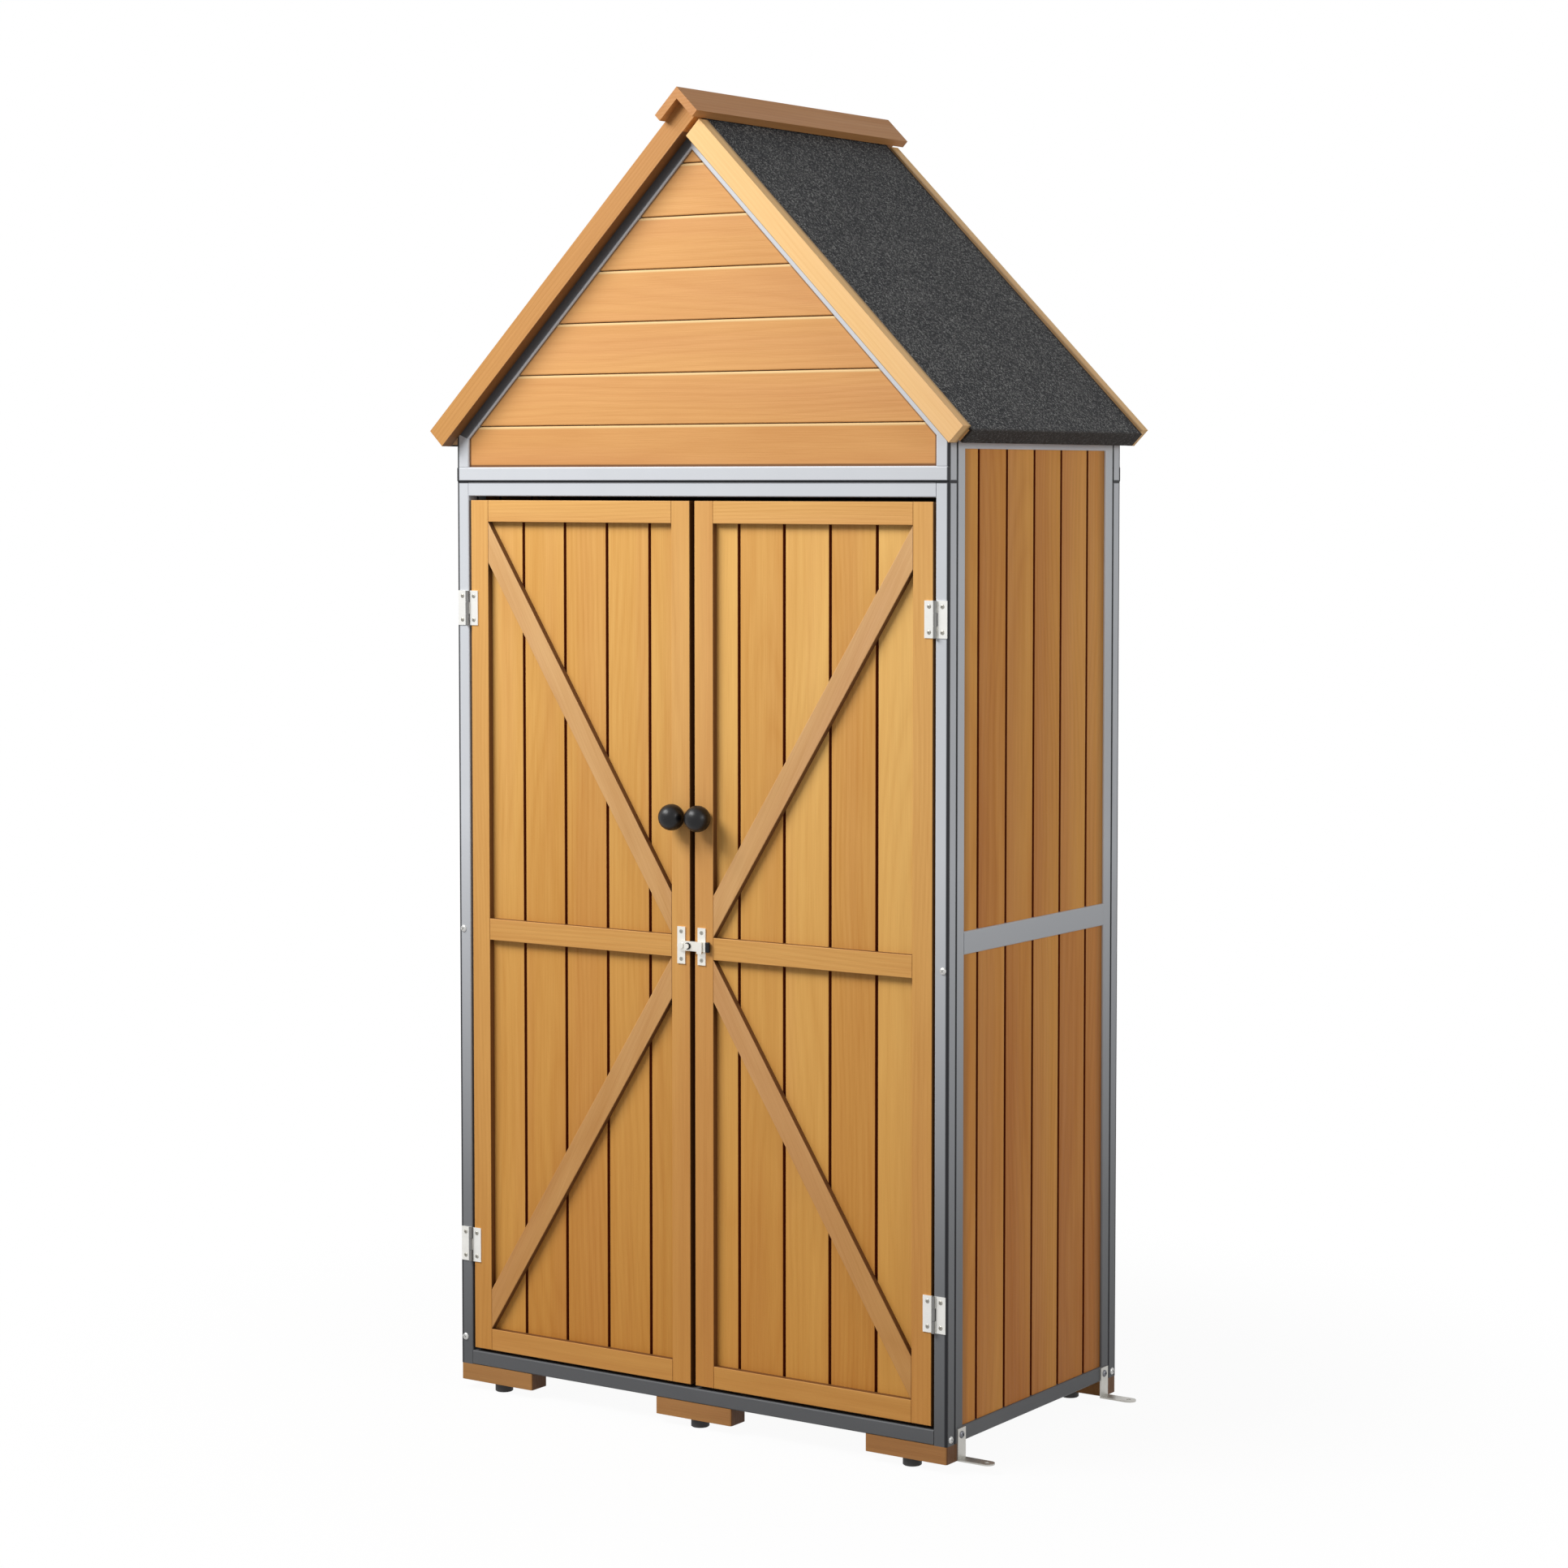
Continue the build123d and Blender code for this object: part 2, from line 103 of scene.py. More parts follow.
def ramp(tree, value, start, end, low, high=1.0, **settings):
    feeds = {"Value": value, "From Min": start, "From Max": end, "To Min": low, "To Max": high}
    return place(tree, "ShaderNodeMapRange", feeds, **settings).outputs[0]


def blendColours(tree, amount, first, second, kind="MIX"):
    feeds = {"Factor": amount, "A": first, "B": second}
    return shownSocket(place(tree, "ShaderNodeMix", feeds, data_type="RGBA", blend_type=kind).outputs)


def noise(tree, vector, scale, detail=2.0, roughness=0.5):
    scaled = vectors(tree, "MULTIPLY", vector, scale)
    feeds = {"Vector": scaled, "Scale": 1.0, "Detail": detail, "Roughness": roughness}
    return place(tree, "ShaderNodeTexNoise", feeds)


def addSockets(tree, direction, kinds):
    for name, kind in kinds.items():
        tree.interface.new_socket(name, in_out=direction, socket_type="NodeSocket" + kind)


def srgb(red, green, blue):
    def linear(value):
        share = value / 255
        return share / 12.92 if share <= 0.04045 else ((share + 0.055) / 1.055) ** 2.4

    return (linear(red), linear(green), linear(blue), 1.0)


def meshFrom(bm, name, material):
    mesh = bpy.data.meshes.new(name)
    bm.to_mesh(mesh)
    bm.free()
    mesh.materials.append(material)
    return mesh


# Studio: a key light high in front to the left, a weak fill at the right, and a white surround.
# The floor is white where it is seen, and throws less light back onto the low parts.
white = (1, 1, 1, 1)
studio = {
    "ambient": 0.22,
    "key": {"place": (-1.5, -2.2, 3.2), "aim": (0, 0, 1.0), "size": (2.4, 1.3), "power": 124},
    "fill": {"place": (3.1, -0.7, 1.7), "aim": (0.4, 0, 1.0), "size": (1.3, 1.3), "power": 22},
    "floorSeen": (0.9, 0.9, 0.9, 1),
    "floorThrown": (0.32, 0.32, 0.32, 1),
    "floorRadius": 9.0,
    "floorSides": 96,
    "floorLevel": -0.0006,
    "shadowReach": (0.55, 1.35),
    "floorGlow": 0.95,
}


def addAreaLight(name, setting):
    lamp = bpy.data.lights.new(name, "AREA")
    lamp.shape = "RECTANGLE"
    lamp.size, lamp.size_y = setting["size"]
    lamp.energy = setting["power"]
    lampObject = bpy.data.objects.new(name, lamp)
    lampObject.location = setting["place"]
    aim = Vector(setting["aim"]) - Vector(setting["place"])
    lampObject.rotation_euler = aim.to_track_quat("-Z", "Y").to_euler()
    lampObject.visible_camera = False
    bpy.context.collection.objects.link(lampObject)


addAreaLight("keyLight", studio["key"])
addAreaLight("fillLight", studio["fill"])

world = bpy.data.worlds.new("studioWorld")
world.use_nodes = True
bpy.context.scene.world = world
background = world.node_tree.nodes["Background"]
background.inputs["Color"].default_value = white


def seenDirectly(tree):
    rays = place(tree, "ShaderNodeLightPath").outputs
    mirrored = maths(tree, "MAXIMUM", rays["Is Glossy Ray"], rays["Is Transmission Ray"])
    return maths(tree, "MAXIMUM", rays["Is Camera Ray"], mirrored)


ambient = studio["ambient"]
surround = maths(world.node_tree, "MULTIPLY_ADD", seenDirectly(world.node_tree), 1 - ambient, ambient)
world.node_tree.links.new(surround, background.inputs["Strength"])


def makePaleFloor():
    material = bpy.data.materials.new("paleFloor")
    material.use_nodes = True
    tree = material.node_tree
    tree.nodes.clear()
    distance = lengthOf(tree, place(tree, "ShaderNodeTexCoord").outputs["Object"])
    near, far = studio["shadowReach"]
    fade = ramp(tree, distance, near, far, studio["floorGlow"], interpolation_type="SMOOTHSTEP")
    seen = seenDirectly(tree)
    share = maths(tree, "MULTIPLY", fade, seen)
    colour = blendColours(tree, seen, studio["floorThrown"], studio["floorSeen"])
    matt = place(tree, "ShaderNodeBsdfDiffuse", {"Color": colour}).outputs[0]
    glow = place(tree, "ShaderNodeEmission", {"Color": white, "Strength": 1.0}).outputs[0]
    mixed = place(tree, "ShaderNodeMixShader", {0: share, 1: matt, 2: glow}).outputs[0]
    place(tree, "ShaderNodeOutputMaterial", {"Surface": mixed})
    return material


bm = bmesh.new()
bmesh.ops.create_circle(bm, cap_ends=True, segments=studio["floorSides"], radius=studio["floorRadius"])
floor = bpy.data.objects.new("floor", meshFrom(bm, "floor", makePaleFloor()))
floor.location.z = studio["floorLevel"]
bpy.context.collection.objects.link(floor)
bpy.context.scene.view_settings.view_transform = "Standard"
print("camera, lights and floor are in place")


# Softwood: growth rings round a pith beside each board, streaks and fibres along the grain, and
# slow clouds of tone. "Grain" has its Z along the timber, and "Shift" makes each board its own.
woodSet = {
    "ringSpacing": 0.0052,
    "ringPower": 1.6,
    "ringGain": 3.0,
    "pith": (0.045, 0.085),
    "pithShift": (0.012, 0.02),
    "wander": 0.06,
    "shares": {"ring": 0.15, "streak": 0.62, "fibre": 0.42, "cloud": 0.75, "tone": 0.26},
    "cast": {"fadeStart": 0.46, "full": 0.68, "amount": 0.5, "colour": (0.93, 0.86, 0.95, 1)},
    "groove": {"amount": 0.93, "colour": (0.20, 0.026, 0.003, 1)},
    "rough": {"least": 0.42, "streak": 0.22},
    "relief": {"fibre": 0.6, "ring": -0.35, "depth": 0.0006},
    "shine": 0.3,
    "endFacing": 0.75,
}
# Each noise has a scale along three axes, a detail and a roughness
woodNoise = {
    "bend": ((5, 5, 1.3), 1.5, 0.5),
    "streak": ((95, 95, 1.9), 4.0, 0.62),
    "fibre": ((900, 900, 16), 1.0, 0.5),
    "cloud": ((11, 11, 2.3), 3.0, 0.55),
    "cast": ((16, 16, 1.1), 1.0, 0.5),
}


def makeWoodGroup():
    tree = bpy.data.node_groups.new("softwood", "ShaderNodeTree")
    inputs = {
        "Grain": "Vector",
        "Shift": "Vector",
        "Tone": "Float",
        "Shade": "Float",
        "Pale": "Color",
        "Deep": "Color",
    }
    addSockets(tree, "INPUT", inputs)
    addSockets(tree, "OUTPUT", {"Colour": "Color", "Roughness": "Float", "Height": "Float"})
    given = place(tree, "NodeGroupInput").outputs
    grain, shift = given["Grain"], given["Shift"]
    moved = vectors(tree, "ADD", grain, shift)

    # Rings, bent by a slow wander along the board
    bend = noise(tree, moved, *woodNoise["bend"]).outputs["Color"]
    bend = vectors(tree, "SUBTRACT", bend, (0.5, 0.5, 0.5))
    bend = vectors(tree, "MULTIPLY", bend, (woodSet["wander"],) * 3)
    bent = axes(tree, vectors(tree, "ADD", grain, bend))
    shifts = axes(tree, shift)
    shifts = (shifts[0], maths(tree, "ABSOLUTE", shifts[1]))
    fromPith = []
    for i in range(2):
        pith = maths(tree, "MULTIPLY_ADD", shifts[i], woodSet["pithShift"][i], woodSet["pith"][i])
        fromPith.append(maths(tree, "SUBTRACT", bent[i], pith))
    radius = lengthOf(tree, joinAxes(tree, *fromPith, 0.0))
    turns = maths(tree, "MULTIPLY", radius, 1 / woodSet["ringSpacing"])
    ring = maths(tree, "POWER", maths(tree, "PINGPONG", turns, 0.5), woodSet["ringPower"])
    ring = maths(tree, "MULTIPLY", ring, woodSet["ringGain"], clamp=True)

    # Everything adds up to one share of the deep colour
    shares = woodSet["shares"]
    share = maths(tree, "MULTIPLY_ADD", ring, shares["ring"], 0.5 - shares["ring"] / 2)
    waves = {}
    for kind in ("streak", "fibre", "cloud"):
        waves[kind] = noise(tree, moved, *woodNoise[kind]).outputs[0]
        share = maths(tree, "MULTIPLY_ADD", maths(tree, "SUBTRACT", waves[kind], 0.5), shares[kind], share)
    share = maths(tree, "MULTIPLY_ADD", given["Tone"], shares["tone"], share, clamp=True)
    colour = blendColours(tree, share, given["Pale"], given["Deep"])

    # A pinkish cast comes and goes, and the grooves between boards are darkened, partly as dirt and partly as
    # painted shade
    cast, groove = woodSet["cast"], woodSet["groove"]
    pink = noise(tree, moved, *woodNoise["cast"]).outputs[0]
    pink = ramp(tree, pink, cast["fadeStart"], cast["full"], 0.0, cast["amount"])
    colour = blendColours(tree, pink, colour, cast["colour"], "MULTIPLY")
    dark = maths(tree, "MULTIPLY", given["Shade"], groove["amount"])
    colour = blendColours(tree, dark, colour, groove["colour"])

    rough, relief = woodSet["rough"], woodSet["relief"]
    roughness = maths(tree, "MULTIPLY_ADD", waves["streak"], rough["streak"], rough["least"])
    height = maths(tree, "MULTIPLY", ring, relief["ring"])
    height = maths(tree, "MULTIPLY_ADD", waves["fibre"], relief["fibre"], height)
    place(tree, "NodeGroupOutput", {"Colour": colour, "Roughness": roughness, "Height": height})
    return tree


woodGroup = makeWoodGroup()


def newMaterial(name):
    material = bpy.data.materials.new(name)
    material.use_nodes = True
    tree = material.node_tree
    return material, tree, tree.nodes["Principled BSDF"]


def finishMaterial(tree, shader, colour, rough, shine, height, relief, depth):
    bump = place(tree, "ShaderNodeBump", {"Height": height, "Strength": relief, "Distance": depth})
    tree.links.new(colour, shader.inputs["Base Color"])
    tree.links.new(rough, shader.inputs["Roughness"])
    tree.links.new(bump.outputs[0], shader.inputs["Normal"])
    shader.inputs["Specular IOR Level"].default_value = shine


def objectPlace(tree):
    return place(tree, "ShaderNodeTexCoord").outputs["Object"]


# The ways in which a timber's own coordinates are found: Z of the first result runs along the
# grain, and the shift, the tone and the shade of a board follow it
plainBoard = ((0, 0, 0), 0.0, 0.0)


def boardCoordinates(tree):
    wanted = {"grainPlace": "Vector", "boardShift": "Vector", "boardTone": "Fac", "grooveShade": "Fac"}
    return [
        place(tree, "ShaderNodeAttribute", attribute_name=name).outputs[kind]
        for name, kind in wanted.items()
    ]


def swappedCoordinates(order):
    def find(tree):
        given = axes(tree, objectPlace(tree))
        return joinAxes(tree, *(given["XYZ".index(axis)] for axis in order)), *plainBoard

    return find


roofPitch = pi / 4


def slopeCoordinates(side):
    def find(tree):
        turn = {"Vector": objectPlace(tree), "Rotation": (0, side * roofPitch, 0)}
        return place(tree, "ShaderNodeMapping", turn, vector_type="POINT").outputs[0], *plainBoard

    return find


# The four braces are mirror images, so each is read in one corner and pushed along its own grain
braceSet = {"middle": 0.6535, "span": 0.283, "rise": 0.54, "apartSideways": 0.61, "apartUpwards": 1.73}


def braceCoordinates(tree):
    x, y, z = axes(tree, objectPlace(tree))
    above = maths(tree, "SUBTRACT", z, braceSet["middle"])
    corner = joinAxes(tree, maths(tree, "ABSOLUTE", x), y, maths(tree, "ABSOLUTE", above))
    lean = atan2(braceSet["span"], braceSet["rise"])
    along = place(tree, "ShaderNodeMapping", {"Vector": corner, "Rotation": (0, -lean, 0)}).outputs[0]
    push = maths(tree, "MULTIPLY", maths(tree, "SIGN", above), braceSet["apartUpwards"])
    push = maths(tree, "MULTIPLY_ADD", maths(tree, "SIGN", x), braceSet["apartSideways"], push)
    return along, joinAxes(tree, push, 0.0, push), 0.0, 0.0


# Pale and deep ends of each timber's colour
woodColours = {
    "door": (srgb(252, 200, 116), srgb(219, 156, 74)),
    "batten": (srgb(246, 192, 114), srgb(215, 154, 81)),
    "brace": (srgb(241, 195, 137), srgb(205, 150, 88)),
    "side": (srgb(252, 184, 89), srgb(212, 133, 49)),
    "gable": (srgb(236, 178, 110), srgb(212, 149, 84)),
    "leftBarge": (srgb(213, 157, 90), srgb(187, 130, 67)),
    "rightBarge": (srgb(255, 213, 150), srgb(240, 188, 120)),
    "ridge": (srgb(211, 153, 94), srgb(182, 122, 66)),
    "block": (srgb(197, 143, 84), srgb(161, 111, 60)),
    "inner": (srgb(236, 190, 130), srgb(204, 150, 90)),
}
# Painted shade: timber turns darker and warmer towards the ground, where less light falls
woodLowShadeSet = {"top": 1.05, "bottom": 0.05, "colour": (0.83, 0.69, 0.47, 1)}
# Tones that change across each board: wall boards are ruddier towards one edge, and the upper
# edge of a gable board gets a painted highlight, where its arris catches the light
acrossSet = {
    "ruddyEdge": {
        "fadeStart": 0.024,
        "full": -0.034,
        "amount": 0.8,
        "colour": (0.82, 0.74, 0.94, 1),
        "blend": "MULTIPLY",
    },
    "paleEdge": {
        "fadeStart": 0.0300,
        "full": 0.0314,
        "amount": 0.55,
        "colour": srgb(255, 228, 168),
        "blend": "MIX",
    },
}

# Painted shade on edges, sides and recesses where shadow falls: the axis that is read, where the shade starts
# and where it is dark.
# Without an axis, it is the height of the ridge that a roof slope through the point would have.
edgeSet = {
    # Painted shade on the battens' narrow sides
    "battenSides": {"axis": 1, "fadeStart": 0.2249, "dark": 0.2241, "amount": 0.90},
    # Painted shade on the door boards' edges in the gap where the doors meet
    "meetingEdges": {"axis": 0, "fadeStart": 0.0060, "dark": 0.0050, "amount": 0.95},
    # Painted shade on the wall boards next to the corner posts
    "sideWallEnds": {"axis": 1, "fadeStart": 0.1660, "dark": 0.1846, "amount": 0.55},
    # Painted shade on the gable boards beside the posts, above the sill and under the rafters
    "gableEnds": {"axis": 0, "fadeStart": 0.3764, "dark": 0.3780, "amount": 0.85},
    "gableFoot": {"axis": 2, "fadeStart": 1.2990, "dark": 1.2974, "amount": 0.85},
    "gableSlopes": {"axis": None, "fadeStart": 1.7098, "dark": 1.7122, "amount": 0.75},
    # Painted shade on the barges' undersides, and painted shadow along their backs beside the felt
    "bargeUnderside": {"axis": None, "fadeStart": 1.7358, "dark": 1.7350, "amount": 0.75},
    "bargeBack": {"axis": 1, "fadeStart": 0.2320, "dark": 0.2262, "amount": 0.60},
    # Painted shadow of the left barges on the rafters below them
    "rafterShadow": {"axis": None, "fadeStart": 1.7160, "dark": 1.7182, "amount": 0.75},
    "rafterTopShadow": {"axis": None, "fadeStart": 1.7182, "dark": 1.7340, "amount": 0.50},
    # Painted shade along the hinge knuckles
    "hingeKnuckleShade": {"axis": 1, "fadeStart": 0.2264, "dark": 0.2272, "amount": 0.75},
}
# Dark colour of the painted edge shade, also used on the darker end faces
shadeAndEndGrainColour = (0.10, 0.036, 0.010, 1)


def edgeShade(tree, kind):
    setting = edgeSet[kind]
    spot = axes(tree, objectPlace(tree))
    if setting["axis"] is None:
        value = maths(tree, "ADD", spot[2], maths(tree, "ABSOLUTE", spot[0]))
    else:
        value = maths(tree, "ABSOLUTE", spot[setting["axis"]])
    return ramp(tree, value, setting["fadeStart"], setting["dark"], 0.0, setting["amount"])


def makeWood(name, colours, find, paintedLowShade=0.0, bump=0.35, edges=(), endGrainAndShade=0.0, across=()):
    material, tree, shader = newMaterial(name)
    grain, shift, tone, shade = find(tree)
    pale, deep = woodColours[colours]
    feeds = {"Grain": grain, "Shift": shift, "Tone": tone, "Shade": shade, "Pale": pale, "Deep": deep}
    wood = place(tree, "ShaderNodeGroup", feeds, node_tree=woodGroup).outputs
    colour = wood["Colour"]
    for kind in across:
        setting = acrossSet[kind]
        share = ramp(tree, axes(tree, grain)[0], setting["fadeStart"], setting["full"], 0.0, setting["amount"])
        colour = blendColours(tree, share, colour, setting["colour"], setting["blend"])
    if paintedLowShade:
        low = ramp(tree, axes(tree, objectPlace(tree))[2], woodLowShadeSet["top"], woodLowShadeSet["bottom"], 0.0, paintedLowShade)
        colour = blendColours(tree, low, colour, woodLowShadeSet["colour"], "MULTIPLY")
    # Painted shade on the listed edges and sides
    for kind in edges:
        colour = blendColours(tree, edgeShade(tree, kind), colour, shadeAndEndGrainColour)
    # End faces are darkened: partly the darker tone of end grain, partly painted shade
    if endGrainAndShade:
        facing = axes(tree, place(tree, "ShaderNodeTexCoord").outputs["Normal"])[0]
        sawn = maths(tree, "GREATER_THAN", maths(tree, "ABSOLUTE", facing), woodSet["endFacing"])
        colour = blendColours(tree, maths(tree, "MULTIPLY", sawn, endGrainAndShade), colour, shadeAndEndGrainColour)
    depth = woodSet["relief"]["depth"]
    finishMaterial(tree, shader, colour, wood["Roughness"], woodSet["shine"], wood["Height"], bump, depth)
    return material


# Painted shade on the barges
bargeShadeEdges = ["bargeUnderside", "bargeBack"]
# Painted shade along the gable boards' edges
gableShadeEdges = ["gableEnds", "gableFoot", "gableSlopes"]
woodFinishes = {
    "doorBoardWood": {"colours": "door", "find": boardCoordinates, "paintedLowShade": 1.0, "edges": ["meetingEdges"]},
    "sideBoardWood": {
        "colours": "side",
        "find": boardCoordinates,
        "paintedLowShade": 0.6,
        "edges": ["sideWallEnds"],
        "across": ["ruddyEdge"],
    },
    "gableBoardWood": {
        "colours": "gable",
        "find": boardCoordinates,
        "edges": gableShadeEdges,
        "across": ["paleEdge"],
    },
    "innerBoardWood": {"colours": "inner", "find": boardCoordinates},
    "uprightBattenWood": {
        "colours": "batten",
        "find": swappedCoordinates("XYZ"),
        "paintedLowShade": 0.9,
        "edges": ["battenSides"],
    },
    "crossBattenWood": {
        "colours": "batten",
        "find": swappedCoordinates("ZYX"),
        "paintedLowShade": 0.7,
        "edges": ["battenSides"],
    },
    "braceWood": {
        "colours": "brace",
        "find": braceCoordinates,
        "paintedLowShade": 0.95,
        "bump": 0.5,
        "edges": ["battenSides"],
    },
    "leftSlopeWood": {"colours": "leftBarge", "find": slopeCoordinates(-1), "edges": bargeShadeEdges},
    "rightSlopeWood": {"colours": "rightBarge", "find": slopeCoordinates(1), "edges": bargeShadeEdges},
    "ridgeWood": {"colours": "ridge", "find": swappedCoordinates("XZY")},
    "blockWood": {"colours": "block", "find": swappedCoordinates("ZYX"), "bump": 0.5, "endGrainAndShade": 0.85},
    "bearerWood": {"colours": "inner", "find": swappedCoordinates("XZY")},
}
materials = {name: makeWood(name, **finish) for name, finish in woodFinishes.items()}


# Metals, felt and plastics; painted shade darkens the tubes towards the ground, and painted shadow fills
# their corners and joints
metalSet = {"worn": 0.86, "cloudDetail": 3.0, "fineScale": (420, 420, 420), "depth": 0.0002}
steelLowShadeSet = {
    "top": 0.80,
    "middle": 0.28,
    "bottom": 0.05,
    "atMiddle": 0.35,
    "atBottom": 0.18,
    "wander": 0.12,
}
tubeShadowLines = {
    "corner": (0.400, 0.225),
    "cornerShare": 0.62,
    "joint": 0.205,
    "reach": 0.3785,
    "level": 1.275,
    "full": 0.0017,
    "clear": 0.0027,
    "amount": 0.98,
    "colour": (0.010, 0.010, 0.013, 1),
}


# Painted shadow along the rounded outer corners, the joints between end frames and sides, and those under the
# gables
def tubeLineShade(tree, spot):
    x, y, z = axes(tree, spot)
    across, deep = maths(tree, "ABSOLUTE", x), maths(tree, "ABSOLUTE", y)
    fromCorner = maths(tree, "SUBTRACT", sum(tubeShadowLines["corner"]), maths(tree, "ADD", across, deep))
    fromJoint = maths(tree, "ABSOLUTE", maths(tree, "SUBTRACT", deep, tubeShadowLines["joint"]))
    fromLevel = maths(tree, "ABSOLUTE", maths(tree, "SUBTRACT", z, tubeShadowLines["level"]))
    inside = maths(tree, "LESS_THAN", across, tubeShadowLines["reach"])
    onSide = maths(tree, "LESS_THAN", deep, tubeShadowLines["joint"])
    nearest = maths(tree, "MULTIPLY", fromCorner, tubeShadowLines["cornerShare"])
    nearest = maths(tree, "MINIMUM", nearest, maths(tree, "ADD", fromJoint, inside))
    nearest = maths(tree, "MINIMUM", nearest, maths(tree, "ADD", fromLevel, onSide))
    return ramp(tree, nearest, tubeShadowLines["clear"], tubeShadowLines["full"], 0.0, tubeShadowLines["amount"])


# Painted shade: what is left of the light, in two steps down to the ground
def paintedSteelShade(tree, spot, cloud):
    middle, atMiddle = steelLowShadeSet["middle"], steelLowShadeSet["atMiddle"]
    uneven = maths(tree, "SUBTRACT", cloud, 0.5)
    height = maths(tree, "MULTIPLY_ADD", uneven, steelLowShadeSet["wander"], axes(tree, spot)[2])
    above = ramp(tree, height, middle, steelLowShadeSet["top"], atMiddle, 1.0)
    below = ramp(tree, height, steelLowShadeSet["bottom"], middle, steelLowShadeSet["atBottom"], atMiddle)
    left = maths(tree, "ADD", above, maths(tree, "SUBTRACT", below, atMiddle))
    return place(tree, "ShaderNodeCombineColor", {0: left, 1: left, 2: left}).outputs[0]


def makeMetal(name, colour, metallic, rough, smear, relief, paintedSteelShading=False, shine=0.5, edges=()):
    material, tree, shader = newMaterial(name)
    spot = objectPlace(tree)
    cloud = noise(tree, spot, smear, metalSet["cloudDetail"]).outputs[0]
    fine = noise(tree, spot, metalSet["fineScale"]).outputs[0]
    worn = tuple(channel * metalSet["worn"] for channel in colour[:3]) + (1,)
    shown = blendColours(tree, cloud, colour, worn)
    # Painted shade low down, and painted shadow in the tubes' corners and joints
    if paintedSteelShading:
        shown = blendColours(tree, 1.0, shown, paintedSteelShade(tree, spot, cloud), "MULTIPLY")
        shown = blendColours(tree, tubeLineShade(tree, spot), shown, tubeShadowLines["colour"])
    # Painted shadow and shade on the listed edges
    for kind in edges:
        shown = blendColours(tree, edgeShade(tree, kind), shown, tubeShadowLines["colour"])
    smooth, dull = rough
    rough = maths(tree, "MULTIPLY_ADD", cloud, dull - smooth, smooth)
    shader.inputs["Metallic"].default_value = metallic
    finishMaterial(tree, shader, shown, rough, shine, fine, relief, metalSet["depth"])
    return material


tubeFinish = {
    "colour": srgb(221, 224, 229),
    "metallic": 0.05,
    "rough": (0.36, 0.52),
    "smear": (9, 9, 4),
    "relief": 0.10,
    "paintedSteelShading": True,
    "shine": 0.25,
}
screwFinish = {"metallic": 0.6, "smear": (300, 300, 300), "relief": 0.05}
metalFinishes = {
    "tubeSteel": tubeFinish,
    # The left rafters get the barges' painted shadow
    "shadedSteel": {**tubeFinish, "edges": ["rafterShadow", "rafterTopShadow"]},
    "hingeZinc": {
        "colour": srgb(252, 251, 246),
        "metallic": 0.5,
        "rough": (0.26, 0.38),
        "smear": (60, 60, 60),
        "relief": 0.06,
        "edges": ["hingeKnuckleShade"],
    },
    "latchZinc": {
        "colour": srgb(252, 249, 240),
        "metallic": 0.55,
        "rough": (0.26, 0.38),
        "smear": (70, 70, 70),
        "relief": 0.06,
    },
    "bracketZinc": {
        "colour": srgb(196, 194, 188),
        "metallic": 0.85,
        "rough": (0.28, 0.52),
        "smear": (90, 90, 90),
        "relief": 0.16,
    },
    "screwSteel": {**screwFinish, "colour": srgb(120, 121, 126), "metallic": 0.9, "rough": (0.25, 0.45)},
    "boltZinc": {**screwFinish, "colour": srgb(214, 214, 212), "rough": (0.25, 0.40)},
    "plateScrewZinc": {**screwFinish, "colour": srgb(176, 173, 164), "rough": (0.28, 0.42)},
    "knobBlack": {
        "colour": srgb(13, 13, 16),
        "metallic": 0.0,
        "rough": (0.30, 0.38),
        "smear": (50, 50, 50),
        "relief": 0.03,
        "shine": 0.34,
    },
    "tipBlack": {
        "colour": srgb(16, 16, 18),
        "metallic": 0.0,
        "rough": (0.34, 0.5),
        "smear": (120, 120, 120),
        "relief": 0.10,
        "shine": 0.25,
    },
    "footBlack": {
        "colour": srgb(42, 40, 40),
        "metallic": 0.0,
        "rough": (0.5, 0.7),
        "smear": (80, 80, 80),
        "relief": 0.25,
    },
}
for name, finish in metalFinishes.items():
    materials[name] = makeMetal(name, **finish)

# Painted shadow beside the barges and painted shade on the turned-down end: each has the place where it
# begins, the place where it is full, and its amount there
feltSet = {
    "grit": 620,
    "dark": srgb(35, 36, 39),
    "light": srgb(164, 164, 162),
    "shadowDark": srgb(34, 26, 20),
    "speckPower": 4.2,
    "cloud": ((14, 14, 14), 4.0, 0.6),
    "cloudShare": 0.22,
    "besideBargeShadow": (0.2185, 0.2225, 0.85),
    "turnedDownShade": (1.3430, 1.3400, 0.7),
    "rough": {"least": 0.80, "speck": 0.15},
    "shine": 0.25,
    "relief": 0.5,
    "depth": 0.0010,
}


def feltShadow(tree, value, kind):
    start, full, amount = feltSet[kind]
    return ramp(tree, value, start, full, 0.0, amount)


